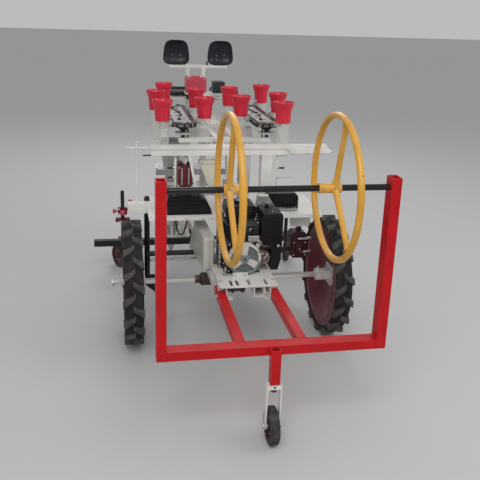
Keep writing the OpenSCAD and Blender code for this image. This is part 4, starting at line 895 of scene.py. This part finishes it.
class TRANSPLANTER_OT_wheels(bpy.types.Operator):
    """Turn the tyres, set their lugs and bolt up the drive wheels"""
    bl_idname = "transplanter.wheels"
    bl_label = "Drive wheels"

    def execute(self, context):
        round_by = context.scene.transplanter_trim.lug_round / MM
        for side, body in ((-1, "wheel_left"), (1, "wheel_right")):
            word = body[6:]
            middle = (side * WHEEL_X, 0, WHEEL_Z)
            casing = Shape("casing_" + word, FINISH["tyre"])
            half = [(285.2, 36), (288, 40.5), (292, 42.5), (295, 44.6), (297, 44.8), (299, 46), (303, 44),
                    (305.5, 39), (307.4, 30), (308.4, 18)]
            casing.turned([(r, -y) for r, y in half] + [(308.8, 0)] + half[::-1], middle, RIGHT, 128,
                          ring=True)
            casing.fit(body, "rubber_tyre", "tyre_" + word)
            for share in SIDES:
                lug = Shape("lug")
                part = bmesh.new()
                low, high = swept_lug(share)
                rings = [[part.verts.new((a, b, c)) for a, b in outline] for outline, c in
                         ((low, 298.5), (high, 327.2))]
                part.faces.new(rings[0])
                part.faces.new(rings[1])
                for k in range(len(low)):
                    part.faces.new((rings[0][k - 1], rings[0][k], rings[1][k], rings[1][k - 1]))
                lug.take(part, round_by, 2, 20)
                places = [(middle, Euler((math.radians((k + share / 4) * 360.0 / LUGS), 0, 0)))
                          for k in range(LUGS)]
                repeat("lugs_%s_%s" % (word, "ab"[share > 0]), lug, places, body, "rubber_tyre",
                       FINISH["lug"])
            studs = []
            for a, b in ring_of(4, 52.0, 45.0):
                studs.append(((side * 545.0, a, WHEEL_Z + b), (-side, 0, 0)))
                studs.append(((side * 561.0, a, WHEEL_Z + b), (side, 0, 0)))
            bolts("hub_bolts_" + word, studs, body, 0.85)
            valve = Shape("valve_" + word, FINISH["black plastic"])
            valve.turned([(4.6, 0), (4.2, 14), (2.8, 16), (2.8, 26), (0, 27)],
                         (side * WHEEL_X, 130, WHEEL_Z + 232), (0, 0.35, -1), 12)
            valve.fit(body, "black_plastic")
            screws = Shape("clamp_screws_" + word, FINISH["zinc"])
            for x, top in ((483, 372), (523, 366)):
                screws.prism(hexagon(side * x, 0, 7.5), top, top + 6, bevel=1.0)
                screws.turned([(8.8, 0), (9.6, 1), (9.6, 3), (8.8, 4)], (side * x, 0, top - 6), steps=20)
            screws.turned([(17.5, 0), (19, 1.5), (19, 9), (17.5, 10.5)], (side * 630, 0, WHEEL_Z),
                          (side, 0, 0), 24)
            screws.fit(body, "steel")
        return {"FINISHED"}


class TRANSPLANTER_OT_engine(bpy.types.Operator):
    """Dress the engine: fan guard, silencer jacket, linkage, bolts, tank seam and air cleaner lid"""
    bl_idname = "transplanter.engine"
    bl_label = "Engine"

    def execute(self, context):
        hub = FAN[2]
        guard = Shape("fan_guard", FINISH["cover white"], FINISH["blue grey"])
        guard.turned([(69.6, 5), (69.6, 21), (71, 22.8), (81, 22.8), (82.6, 21), (82.6, -2), (80, -2),
                      (80, 5)], FAN, FRONT, 72, ring=True)
        for angle in (90, 210, 330):
            c, s = math.cos(math.radians(angle)), math.sin(math.radians(angle))
            guard.prism([(r * c - w * s, hub + r * s + w * c) for r, w in
                         ((20, -13.5), (76, -20.5), (76, 20.5), (20, 13.5))], -322.9, -305, "y", 1.6)
        guard.finish = 1
        guard.prism(arc(82.9, range(185, 356, 6), 0, hub) + arc(69.2, range(350, 184, -6), 0, hub),
                    -323.2, -299, "y", 0.6)
        guard.turned([(69.5, 6.0), (69.5, 7.4), (60, 8.6), (32, 8.8), (31, 7), (0, 7)], FAN, FRONT, 64)
        guard.turned([(31, 6), (30.8, 20), (29.5, 21.4), (21.4, 21.4), (20.8, 25.8), (19.5, 27), (7, 27),
                      (6, 25.4), (0, 25.4)], FAN, FRONT, 48)
        guard.fit("chassis", "engine_alloy")
        vane = Shape("vane")
        vane.block((37, -1.4, 8), (63, 1.4, 11.5), 0.6)
        repeat("fan_vanes", vane, [(FAN, FRONT, k * 12) for k in range(30)], "chassis", "engine_alloy",
               FINISH["blue grey"])
        knurl = Shape("knurl")
        knurl.block((30, -1.3, 9), (32.2, 1.3, 20), 0.5)
        repeat("starter_ribs", knurl, [(FAN, FRONT, k * 18) for k in range(20)], "chassis", "engine_alloy",
               FINISH["blue grey"])
        bolts("engine_bolts", [((x, -322.8, z), FRONT) for x, z in arc(76, (30, 150, 270), 0, hub)]
              + [((x, -300, z), FRONT) for x in (-74, 60) for z in (492, 630)]
              + [((x, y, 486), UP) for x in (-88, 79) for y in (-281, -150)]
              + [((x, -336, 484), FRONT) for x in (-46, 0)]
              + [((-85, y, z), LEFT) for y in (-280, -215) for z in (500, 560, 618)]
              + [((x, y, 724), UP) for x in (-2, 72) for y in (-262, -205)], size=0.8)
        stack = Shape("threaded_rods", FINISH["drawn"])
        low = 474
        for x, y, high in ((-105, -210, 610), (-93, -312, 520)):
            thread = range(low, high, 2)
            stack.pipe([(x, y, z) for z in thread], [4.0 if z // 2 % 2 else 3.4 for z in thread], 8)
            for z in range(low + 4, high - 12, 26):
                stack.prism(hexagon(x, y, 8), z, z + 8, bevel=1.0)
                stack.turned([(10, 0), (10, 1.6)], (x, y, z - 2), steps=20)
        stack.fit("chassis", "steel")
        cowl = Shape("blower_cowl", FINISH["black plastic"])
        cowl.prism(rounded((-84, -286), (-13, -134), 16), 640, 723, bevel=7.0)
        cowl.prism(rounded((-84.4, 481), (69.4, 641.4), 21), -301.8, -299.5, "y", 0.8)
        cowl.block((-112.8, -200.8, 474.2), (-97.2, -129.2, 704.8), 1.0)
        for k in range(5):
            cowl.pipe([(-85, -270 + 26 * k, 660), (-85, -270 + 26 * k, 708)], 2.0, 8)
        cowl.fit("chassis", "black_plastic")
        bolts("end_plate_bolts", [((-105, -200.8, 506 + 30 * k), FRONT) for k in range(6)], size=1.0)
        jacket = Shape("silencer_jacket", FINISH["hot"], FINISH["drawn"])
        jacket.turned([(28.4, 0), (28.4, 100), (30.4, 100), (30.4, 0)], (104, -181, 548), FRONT, 40,
                      ring=True)
        jacket.turned([(29, 0), (28, 3), (22, 6), (21, 5), (12, 6), (11, 9), (0, 9)], (104, -285, 548),
                      FRONT, 36)
        for k in range(6):
            jacket.pipe([(104 + c, -190 - 17 * k, 548 + s) for c, s in ring_of(36, 30.6)], 1.3, 6, True)
        jacket.finish = 1
        jacket.pipe([(104 + 12 * math.sin(k / 3), -296 - k, 552 + 5 * k) for k in range(7)], 4.5, 10)
        jacket.fit("chassis", "engine_alloy")
        links = Shape("governor_links", FINISH["zinc"])
        links.block((18, -304.5, 646), (72, -301.5, 672), 0.8)
        links.block((24, -303, 600), (34, -300, 650), 0.8)
        links.pipe([(30, -309, 612), (34, -310, 640), (66, -310, 652), (84, -306, 640)], 1.6, 8)
        turns = [j * 0.5 for j in range(120)]
        spring = [(22 + 0.72 * k, -309 - 3.4 * math.sin(k), 662 + 3.4 * math.cos(k)) for k in turns]
        links.pipe(spring, 0.7, 6)
        links.turned([(11, 0), (11, 5), (8, 8), (3, 8), (3, 12), (0, 12)], (66, -304, 618), FRONT, 24)
        links.turned([(7, 0), (7, 12), (4, 14), (4, 20), (0, 21)], (8, -300, 612), FRONT, 18)
        links.fit("chassis", "steel")
        bolts("governor_screws",
              [((x, -304.5, z), FRONT) for x, z in ((24, 652), (66, 666), (46, 659), (29, 606))], size=0.6)
        plug = Shape("spark_plug", FINISH["nylon"], FINISH["black plastic"])
        plug.turned([(9, 0), (9, 8), (6, 9), (6, 20), (4, 24), (0, 24)], (36, -276, 692), (0, -1, 0.25), 20)
        plug.finish = 1
        plug.turned([(8, 16), (9, 20), (8, 40), (5, 44), (0, 44)], (36, -276, 692), (0, -1, 0.25), 20)
        plug.fit("chassis", "black_plastic")
        lid = Shape("cleaner_lid", FINISH["black plastic"], FINISH["zinc"])
        lid.pipe([(x, y, 742) for x, y in rounded((86, -285), (194, -110), 3)], 1.4, 8, True)
        lid.pipe([(x, y, 772) for x, y in rounded((114, -244), (168, -190), 9)], 1.8, 8, True)
        lid.prism(rounded((120, -238), (162, -196), 6), 771.4, 773.2, bevel=0.6)
        lid.pipe([(86.0, -284.9, 640), (86.0, -284.9, 738)], 1.2, 8)
        lid.turned([(12, 0), (12, 5), (10, 7), (5, 8), (5, 14), (0, 15)], (140, -148, 772), steps=24)
        for z in (668, 640):
            lid.block((110, -287, z), (180, -284, z + 3), 0.8)
        lid.finish = 1
        lid.turned([(7, 0), (7, 2), (5, 3.5), (0, 3.5)], (174, -286, 610), FRONT, 20)
        lid.turned([(4, 0), (4, 3), (0, 3.4)], (150, -238.5, 773), steps=16)
        lid.fit("chassis", "black_plastic")
        tank = Shape("tank_seam", FINISH["tank"], FINISH["zinc"])
        tank.prism(rounded((-78, -193), (83, -42), 28, 8), 756, 758.6, bevel=0.8)
        for rise, radius in ((784, 23.5), (797, 22.6)):
            tank.turned([(radius - 1.5, 0), (radius, 1), (radius, 3), (radius - 1.5, 4)], (0, -118, rise),
                        steps=40)
        tank.finish = 1
        tank.turned([(14, 0), (12, 1.6), (0, 2)], (0, -118, 802), steps=32)
        tank.fit("chassis", "black_paint")
        grip = Shape("grip")
        grip.block((21, -1.4, 0), (23.4, 1.4, 13), 0.5)
        repeat("cap_ribs", grip, [((0, -118, 787), UP, k * 20) for k in range(18)], "chassis",
               "black_paint", FINISH["tank"])
        shield = Shape("shield_hem", FINISH["cover white"], FINISH["pressed"])
        shield.prism([(93, -157), (145.5, -157), (145.5, -121), (93, -121)], 827.8, 832.6, bevel=1.2)
        shield.finish = 1
        shield.pipe([(85.5, -126.4, 773), (93, -126.4, 831)], 1.6, 8)
        shield.pipe([(179, -126.4, 773), (145.5, -126.4, 831)], 1.6, 8)
        for x in (104, 150):
            shield.turned([(6, 0), (6, 2), (4, 3), (0, 3)], (x, -126, 784), FRONT, 16)
        shield.fit("chassis", "shield_steel")
        return {"FINISHED"}


class TRANSPLANTER_OT_chassis(bpy.types.Operator):
    """Weld and bolt the frames, and fit the pins, straps and seams of the covers"""
    bl_idname = "transplanter.chassis"
    bl_label = "Frames and covers"

    def execute(self, context):
        beads = Shape("frame_welds", FINISH["red"])
        for s in SIDES:
            beads.weld([(s * 110, -919, 396), (s * 150, -919, 396), (s * 150, -919, 434),
                        (s * 110, -919, 434)])
            beads.weld([(s * 434, -979, 434), (s * 434, -921, 434)], False)
            beads.weld([(s * 434, -979, 396), (s * 434, -921, 396)], False)
            beads.weld([(s * 434, -981, 397), (s * 434, -981, 433)], False)
            beads.weld([(s * 21, -980, 397), (s * 21, -980, 430)], False)
        beads.fit("chassis", "red_paint")
        white = Shape("post_welds", FINISH["white"])
        for x, y in ((189, 120), (189, 680), (-189, 680), (0, 120)):
            white.weld([(x - 29, y - 29, 984), (x + 29, y - 29, 984), (x + 29, y + 29, 984),
                        (x - 29, y + 29, 984)], radius=2.2)
        for x, y in ((50, 146), (-50, 146)):
            white.weld([(x - 15, y, 995), (x - 15, y, 1034)], False, 2.0)
            white.weld([(x + 15, y, 995), (x + 15, y, 1034)], False, 2.0)
        for y in (327, 353, 947, 973):
            for x in (-66, 66):
                white.weld([(x, y, 1011), (x, y, 1034)], False, 2.0)
        for x in (-110, 110):
            for y in (290, 1425):
                white.weld([(x, y, 435), (x, y + 40, 435)], False, 2.0)
        white.fit("chassis", "white_paint")
        places = []
        for s in SIDES:
            places += [((s * 104, y, 414), (-s, 0, 0)) for y in (-438, -408)]
            places += [((s * 150, -423, 415), (s, 0, 0)), ((s * 128, -391, 474), UP),
                       ((s * 128, -186, 474), UP)]
            places += [((s * 218, y, 415), (s, 0, 0)) for y in (665, 695)]
            places += [((s * 158, y, z), (s, 0, 0)) for y in (1004, 1166) for z in (408, 428)]
            places += [((s * UNIT_X + a, BEAK_Y + b, 605), UP) for a, b in ring_of(4, 51.0, 45)]
            places += [((s * 68, 1200 + 200 * k, 650), UP) for k in range(2)]
            places += [((s * 320, y, 650), UP) for y in (1206, 1404)]
            places += [((s * 74, 42 * math.cos(k), WHEEL_Z + 42 * math.sin(k)), (s, 0, 0))
                       for k in (0.4, 1.45, 2.5, 3.5, 4.55, 5.6)]
            places += [((s * 60, a, b), (s, 0, 0)) for a, b in arc(71, range(200, 341, 28), 0, WHEEL_Z)]
            places += [((s * x, 994, z), FRONT) for x in (540, 584) for z in (190, 220)]
            places += [((s * 106, 959, z), FRONT) for z in (250, 300)]
        places += [((218, y, 415), RIGHT) for y in (106, 134)]
        bolts("frame_bolts", places)
        deck = ((-436, -82), (-436, 286), (-124, 286), (441, -82), (441, 286), (124, 286), (300, -82),
                (-280, 286), (300, 286))
        small = [((x, y, 712), UP) for x, y in deck]
        small += [((x, -95, 702), FRONT) for x in (-130, -178, -262, 130, 230, 400)]
        small += [((x, 32, z), FRONT) for x in (346, 411) for z in (435, 507)] + [((378, 20, 471), FRONT)]
        small += [((356, 80, 565), UP), ((430, 80, 470), RIGHT), ((430, 60, 520), RIGHT),
                  ((430, 100, 520), RIGHT)]
        small += [((x, 98, z), FRONT) for x in (-281, -213) for z in (822, 919)]
        small += [((x, 97, 948), FRONT) for x in (-162, -72)]
        small += [((x, 1290, z), FRONT) for x in (-100, 8) for z in (1172, 1252)]
        small += [((x, 1340, 1158), UP) for x in (50, 164)]
        cover = cover_frame()
        aside = cover.to_3x3() @ Vector(LEFT)
        sheet = ((28, 466), (28, 584), (180, 622), (196, 470), (306, 466))
        small += [(tuple(cover @ Vector((0, y, z))), aside) for y, z in sheet]
        bolts("cover_screws", small, size=0.62)
        seam = Shape("chain_cover_seam", FINISH["cover white"])
        path = [(-1, 446), (-1, 600), (16, 610), (205, 640), (226, 636), (338, 456)]
        for across in (27.0, 30.5):
            seam.pipe([cover @ Vector((across, y, z)) for y, z in path], 1.5, 8)
        seam.fit("chassis", "white_paint")
        straps = Shape("gearbox_straps", FINISH["drawn"])
        for z in (451, 527):
            straps.block((365, 25.4, z - 0.6), (443, 31.4, z + 10.6), 0.8)
            straps.block((404, 24, z - 0.4), (443, 41.6, z + 10.4), 0.8)
        straps.fit("chassis", "steel")
        steady = Shape("steady_bar", FINISH["drawn"])
        steady.turned([(8.0, 0), (8.0, 276)], (-150, 165, 388), LEFT, 24)
        steady.prism(hexagon(-426, 388, 9, 12), 158, 172, "y", 1.0)
        steady.fit("chassis", "steel")
        pins = Shape("frame_pins", FINISH["black"], FINISH["zinc"], FINISH["white"])
        pins.pipe([(-467, 132, 981), (-218, 132, 981)], 4.2, 10)
        for z in (915, 864):
            pins.turned([(4.2, 0), (5, 1), (5, 34), (4.2, 35)], (-306, 120, z), LEFT, 14)
        pins.turned([(4.6, 0), (5, 1), (5, 36), (4.2, 37)], (255, 120, 908), RIGHT, 14)
        pins.turned([(6, 0), (8, 3), (8, 16), (6, 18)], (-240, 40, 690), steps=18)
        pins.finish = 1
        for x, z, s in ((-306, 915, -1), (-306, 864, -1), (255, 908, 1), (255, 855, 1)):
            pins.turned([(7.5, -3), (7.5, 5), (5.5, 7)], (x, 120, z), (s, 0, 0), 18)
        pins.turned([(1.8, 0), (1.8, 82)], (256, 120, 855), RIGHT, 10)
        for x in (-553, -541):
            pins.turned([(6.6, 0), (6.6, 5)], (x, 120, 1022), RIGHT, 18)
        pins.finish = 2
        pins.turned([(6.4, 0), (6.4, 16), (4, 18), (4, 22), (7, 24), (7, 30), (5, 32)], (-500, 120, 1024),
                    steps=20)
        pins.turned([(8.5, 0), (8.5, 12)], (-500, 120, 730), steps=20)
        pins.fit("chassis", "steel")
        case = Shape("case_latches", FINISH["black plastic"], FINISH["zinc"])
        for x in (-330, -190):
            case.block((x - 12, 55, 797), (x + 12, 84, 802), 1.2)
            case.block((x - 8, 80, 770), (x + 8, 92, 800), 1.5)
        case.prism([(-350, 712), (-340, 716), (-148, 716), (-138, 712)], -64, -58, "y", 0.8)
        case.finish = 1
        case.turned([(3, 0), (3, 40)], (-350, 87, 796), RIGHT, 10)
        case.fit("chassis", "black_plastic")
        cap = Shape("gearbox_cap", FINISH["black"], FINISH["zinc"])
        cap.prism(rounded((-288, 100), (-208, 164), 10), 929, 934, bevel=1.0)
        cap.turned([(10, 0), (10, 10), (6, 12), (6, 18), (0, 19)], (-232, 130, 934), steps=24)
        cap.finish = 1
        for x in (-266, -230):
            cap.turned([(4.4, 0), (4.4, 90)], (x, 96, 828), steps=12)
        cap.fit("chassis", "black_paint")
        coil = Shape("wire_coil", FINISH["drawn"])
        coil.pipe([(200 + 1.1 * k, -34 + 9 * math.sin(k * 0.5) + 8 * math.sin(k * 0.06),
                    723 + 9 * math.cos(k * 0.5)) for k in range(120)], 1.8, 8)
        coil.block((196, -44, 712), (336, -24, 714.5), 0.8)
        coil.fit("chassis", "steel")
        plugs = Shape("rail_plugs", FINISH["black plastic"])
        for s in SIDES:
            plugs.prism(rounded((s * 130 - 16.5, 398.5), (s * 130 + 16.5, 431.5), 3), 1736, 1749, "y", 1.2)
            plugs.prism(rounded((s * 50 - 14, 996), (s * 50 + 14, 1034), 3), 985, 989, "y", 1.2)
        plugs.fit("chassis", "black_plastic")
        green = Shape("shelf_box", FINISH["green box"], FINISH["white"])
        green.prism(rounded((69.4, 1157.6), (150.6, 1238.6), 8.5), 1289.4, 1370.6, "y", 1.4)
        green.block((96, 1284, 1226), (124, 1289.6, 1234), 1.0)
        green.finish = 1
        for z in (1132, 1141):
            green.block((0, 1284, z), (176, 1292, z + 4.5), 0.8)
        green.fit("chassis", "black_plastic")
        return {"FINISHED"}


def cover_frame():
    """The matrix of the chain cover, which stands turned beside the engine."""
    return Matrix.Translation(COVER_SPOT) @ Matrix.Rotation(math.radians(COVER_TURN), 4, "Z")


def shell(shape, outline, profile, put, steps=48):
    """A closed moulding: an outline shrunk and raised along a profile of (scale, rise)."""
    part = bmesh.new()
    rings = []
    for scale, rise in profile:
        if scale == 0:
            rings.append([part.verts.new(put(0.0, 0.0, rise))])
        else:
            rings.append([part.verts.new(put(a * scale, b * scale, rise)) for a, b in
                          (outline(k * TURN / steps) for k in range(steps))])
    for low, high in zip(rings, rings[1:]):
        for k in range(steps):
            corners = [low[k % len(low)], low[(k + 1) % len(low)], high[(k + 1) % len(high)],
                       high[k % len(high)]]
            part.faces.new(list(dict.fromkeys(corners)))
    shape.take(part)


def squarish(half_a, half_b, taper=0.0, power=3.6):
    """A rectangle with large rounded corners, narrower towards its top by taper."""
    def point(turn):
        c, s = math.cos(turn), math.sin(turn)
        b = half_b * math.copysign(abs(s) ** (2 / power), s)
        return (half_a - taper * (b / half_b + 1) / 2) * math.copysign(abs(c) ** (2 / power), c), b
    return point


# How the seat mouldings shrink and rise from pole to pole, as (scale, place on the thin axis).
BACK_PROFILE = ((0, 1736), (0.5, 1736), (0.86, 1735), (0.96, 1731), (1.0, 1724), (0.985, 1717),
                (0.95, 1714), (0.91, 1716), (0.86, 1722), (0.5, 1726), (0, 1727))
PAN_PROFILE = ((0, 1121), (0.6, 1121), (0.9, 1122), (0.985, 1128), (1.0, 1140), (0.99, 1152), (0.955, 1158),
               (0.92, 1155), (0.84, 1140), (0.6, 1131), (0, 1128))


def back_place(x):
    """Sets the points of a backrest: hollow across its width and bowed up its height."""
    def put(a, b, rise):
        return x + a, rise - 0.0004 * a * a + 3.0 * math.cos(b / 40), 1400 + b
    return put


def pan_place(x):
    """Sets the points of a seat pan, which is hollow across its width."""
    def put(a, b, rise):
        return x + a, 1563 + b, rise + 0.0002 * a * a - 2
    return put


class TRANSPLANTER_OT_seats(bpy.types.Operator):
    """Mould the two seats, their screws and the springs under them"""
    bl_idname = "transplanter.seats"
    bl_label = "Seats"

    def execute(self, context):
        seats = Shape("seat_mouldings", FINISH["seat"])
        for s in SIDES:
            x = s * SEAT_X + SEAT_SHIFT
            shell(seats, squarish(103, 90, 20), BACK_PROFILE, back_place(x))
            shell(seats, squarish(103, 133, 12, 4.5), PAN_PROFILE, pan_place(x))
            for k in range(-2, 3):
                seats.pipe([(x + k * 26, 1500 + 8 * j, 1129.2 + 0.0002 * (k * 26) ** 2) for j in range(15)],
                           2.2, 8)
        seats.fit("chassis", "seat_plastic", "seats", smooth=60)
        screws = []
        for s in SIDES:
            x = s * SEAT_X + SEAT_SHIFT
            screws += [((x + a, 1723, z), FRONT) for a in (-30, 30) for z in (1350, 1380)]
        bolts("seat_screws", screws, size=0.5)
        springs = Shape("seat_springs", FINISH["black"])
        for s in SIDES:
            for y in (1470, 1610):
                x = s * 100 + SEAT_SHIFT
                coil = [(x + 13 * math.cos(k * 0.5), y + 13 * math.sin(k * 0.5), 1092 + k * 0.45)
                        for k in range(62)]
                springs.pipe(coil, 2.4, 8)
            springs.turned([(6, 0), (6, 34)], (s * 84, 1722, 1304), steps=14)
        springs.fit("chassis", "black_paint")
        rib = Shape("tread")
        rib.prism([(-13, 0), (-9, -2.6), (9, -2.6), (13, 0), (9, 2.6), (-9, 2.6)], 0, 2.2, bevel=0.7)
        places = []
        for i in range(16):
            for j in range(8):
                x = -300 + 40 * i + 20 * (j % 2)
                if x < 310:
                    places.append(((x, 1212 + 26 * j, 650), UP, 45 if (i + j) % 2 else -45))
        repeat("footboard_tread", rib, places, "chassis", "shield_steel", FINISH["pressed"])
        return {"FINISHED"}


class TRANSPLANTER_OT_planters(bpy.types.Operator):
    """Fit the beaks' bands and springs, the small wheels' hubs, the knobs and the cover rods"""
    bl_idname = "transplanter.planters"
    bl_label = "Planting parts"

    def execute(self, context):
        for s, body in ((-1, "beak_left"), (1, "beak_right")):
            bands = Shape(body + "_bands", FINISH["drawn"])
            x = s * UNIT_X
            for z in (300, 352):
                bands.pipe([(x + a, BEAK_Y + b, z) for a, b in ring_of(48, 55.4)], 2.4, 8, True)
            turns = [j * 0.5 for j in range(121)]
            bands.pipe([(x - 24 + 0.8 * k, BEAK_Y - 52 + 5 * math.cos(k), 262 + 5 * math.sin(k))
                        for k in turns], 1.1, 6)
            for a in (-26, 26):
                bands.turned([(4, 0), (4, 16), (6.5, 17), (6.5, 21)], (x + a, BEAK_Y - 40, 262), FRONT, 14)
            for share in SIDES:
                bands.turned([(5, 50), (5, 64), (3.6, 66), (0, 66)], (x, BEAK_Y, 326), (share, 0, 0), 16)
            bands.fit(body, "steel")
        for joint, body in (("guide_wheel_spin", "guide_wheel"),
                            ("cover_wheel_left_spin", "cover_wheel_left"),
                            ("cover_wheel_right_spin", "cover_wheel_right")):
            spot = Vector(JOINTS[joint]["pos_m"]) / MM - Vector((0, AXLE_Y / MM, 0))
            axle = Vector(JOINTS[joint]["axis"])
            across = axle.orthogonal().normalized()
            aside = axle.cross(across)
            hub = Shape(body + "_hub", FINISH["maroon"], FINISH["zinc"], FINISH["small tyre"])
            for s in SIDES:
                hub.turned([(17, 3.6), (26, 5.2), (53, 9.6), (54.6, 9.6), (54.6, 8), (53, 2), (17, 1)],
                           spot, axle * s, 56, ring=True)
                hub.finish = 2
                hub.turned([(66, 15.4), (67.5, 16.6), (69, 15.2), (67.5, 13.5)], spot, axle * s, 64,
                           ring=True)
                hub.finish = 0
            hub.fit(body, "maroon_paint")
            places = []
            for k in range(5):
                round_axle = across * 36 * math.cos(k * TURN / 5) + aside * 36 * math.sin(k * TURN / 5)
                places += [(tuple(spot + round_axle + axle * s * 6.2), axle * s) for s in SIDES]
            bolts(body + "_hub_bolts", places, body, 0.5)
        rods = Shape("cover_rods", FINISH["black"], FINISH["pink"], FINISH["zinc"])
        rod, y = COVER_ROD
        for s in SIDES:
            x = s * rod
            rods.turned([(12.4, 172), (12.4, 547), (8.5, 553.4), (0, 553.4)], (x, y, 0), steps=32)
            rods.finish = 1
            rods.turned([(17, 0), (18.6, 1.5), (18.6, 11), (16, 13), (0, 13.4)], (x, 974.2, 414), FRONT, 24)
            rods.turned([(5, 0), (5, 12), (13, 15), (16, 22), (15, 30), (8, 35), (0, 35.6)],
                        (x + s * 30, y, 414), (s, 0, 0), 24)
            rods.pipe([(x - s * a, y, z) for a, z in ((26, 420), (38, 428), (48, 442), (50, 460))], 5.0, 10)
            rods.turned([(8, 0), (12, 6), (13, 22), (12, 34), (6, 40), (0, 40.6)], (x - s * 50, y, 452),
                        steps=24)
            rods.finish = 2
            for z in (398, 430):
                rods.turned([(4, -22), (4, 22)], (x + s * 22, y, z), (0, 1, 0), 12)
                rods.prism(hexagon(x + s * 22, z, 7), 989, 996, "y", 0.8)
            rods.pipe([(x - 26, 1000, 352), (x - 26, 976, 352), (x + 26, 976, 352), (x + 26, 1000, 352)],
                      3.4, 8)
            rods.finish = 0
        rods.fit("chassis", "maroon_paint")
        fork = Shape("fork_nuts", FINISH["zinc"], FINISH["brown"])
        for s in SIDES:
            fork.prism(hexagon(-1000, 80, 11), min(s * 32.2, s * 41), max(s * 32.2, s * 41), "x", 1.2)
        fork.finish = 1
        fork.turned([(11.8, 242), (12.6, 242.4), (17.6, 269.6), (16, 270.4)], (0, -1000, 0), steps=32)
        fork.fit("fork", "steel")
        lean, bend, leg = math.radians(14), 16.0, 92.0
        drop = leg * math.cos(lean) - bend * math.sin(lean)
        route = []
        for k in range(33):
            t = k / 32
            if t < 0.3 or t > 0.7:
                side = -1 if t < 0.3 else 1
                u = leg * (0.3 - t if t < 0.3 else t - 0.7) / 0.3
                a = side * (bend * math.cos(lean) + u * math.sin(lean))
                b = u * math.cos(lean) - bend * math.sin(lean)
            else:
                turn = math.pi + lean + (math.pi - 2 * lean) * (t - 0.3) / 0.4
                a, b = bend * math.cos(turn), bend * math.sin(turn)
            route.append((-285 + a, -60.0, 708.0 - drop + b))
        cable = Shape("cable_loop", FINISH["sheath"])
        cable.pipe(route, 4.0, 16)
        piece = cable.fit("chassis", "cable_black", "control_cables")
        path = [(x * MM, y * MM + AXLE_Y, z * MM) for x, y, z in route]
        ends = Shape("cable_ferrules", FINISH["zinc"])
        for end, inner in ((0, 2), (-1, -3)):
            ahead = Vector(route[inner]) - Vector(route[end])
            ends.turned([(6.4, -1), (6.4, 6), (5.2, 8), (4.6, 24), (4.2, 25), (4.0, 25), (4.0, -1)],
                        route[end], ahead, 18, ring=True)
        tie = ends.fit("chassis", "steel")
        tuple(path[0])
        sum((Vector(a) - Vector(b)).length for a, b in zip(path, path[1:]))
        return {"FINISHED"}


class TRANSPLANTER_OT_rings(bpy.types.Operator):
    """Bend the two yellow rings, with their spokes, their off-centre hubs and their clamping screws"""
    bl_idname = "transplanter.rings"
    bl_label = "Reel rings"

    def execute(self, context):
        reach, rim, spoke, turn = 278.0, 13.0, 11.0, math.radians(15.0)
        for word, x, inward in (("left", -200.0, 1), ("right", 215.0, -1)):
            ring = Shape("ring_" + word, FINISH["yellow"], FINISH["zinc"])
            middle = Vector((x, -950.0, 1084.0))
            ring.pipe([middle + Vector((0, a, b)) for a, b in ring_of(120, reach)], rim, 24, True)
            ring.turned([(12.9, -22), (19, -22), (20.5, -20.5), (20.5, -15), (19.5, -13.5), (19.5, 60.5),
                         (20.8, 62), (20.8, 66), (19.5, 67.5), (12.9, 67.5)], middle, (inward, 0, 0), 40,
                        ring=True)
            for k in range(3):
                at = turn + k * TURN / 3
                along = Vector((0, -math.sin(at), math.cos(at)))
                aside = Vector((0, math.cos(at), math.sin(at)))
                ring.pipe([middle + along * r for r in (14, 20, 26, 34, 48, 150, 240, 256, 266)],
                          [spoke + grow for grow in (6.5, 4.6, 2.8, 1.4, 0.8, 0.2, 0.2, 0.9, 2.4)], 20)
                foot = middle + along * 265.5
                ring.pipe([foot + Vector((a, 0, 0)) + aside * b for a, b in ring_of(20, spoke + 1.6)],
                          2.2, 6, True)
            ring.finish = 1
            for out in (6.0, 52.0):
                along = Vector((0, -math.sin(turn + TURN / 6), math.cos(turn + TURN / 6)))
                ring.turned([(4.8, 0), (4.8, 9), (3.4, 10.2), (0, 10.2)],
                            middle + Vector((inward * out, 0, 0)) + along * 17.5, along, 6)
            ring.fit("reel", "yellow_paint", "reel_ring_" + word)
        return {"FINISHED"}


class TRANSPLANTER_PT_panel(bpy.types.Panel):
    """Lists the pieces of the transplanter"""
    bl_label = "Transplanter"
    bl_idname = "TRANSPLANTER_PT_panel"
    bl_space_type = "VIEW_3D"
    bl_region_type = "UI"
    bl_category = "Transplanter"

    def draw(self, context):
        for step in STEPS:
            self.layout.operator(step.bl_idname)


STEPS = (TRANSPLANTER_OT_stage, TRANSPLANTER_OT_finishes, TRANSPLANTER_OT_cups, TRANSPLANTER_OT_chains,
         TRANSPLANTER_OT_wheels, TRANSPLANTER_OT_rings, TRANSPLANTER_OT_engine, TRANSPLANTER_OT_chassis,
         TRANSPLANTER_OT_seats, TRANSPLANTER_OT_planters)
GROUPS = {"transplanter_paint": PaintColours, "transplanter_trim": TrimSizes,
          "transplanter_studio": StudioSettings}
CLASSES = (*GROUPS.values(), *STEPS, TRANSPLANTER_PT_panel)


def register():
    for cls in CLASSES:
        bpy.utils.register_class(cls)
    for name, group in GROUPS.items():
        setattr(bpy.types.Scene, name, bpy.props.PointerProperty(type=group))


def unregister():
    for name in GROUPS:
        delattr(bpy.types.Scene, name)
    for cls in reversed(CLASSES):
        bpy.utils.unregister_class(cls)


def main():
    register()
    for step in STEPS:
        section, action = step.bl_idname.split(".")
        getattr(getattr(bpy.ops, section), action)()


if __name__ == "__main__":
    main()
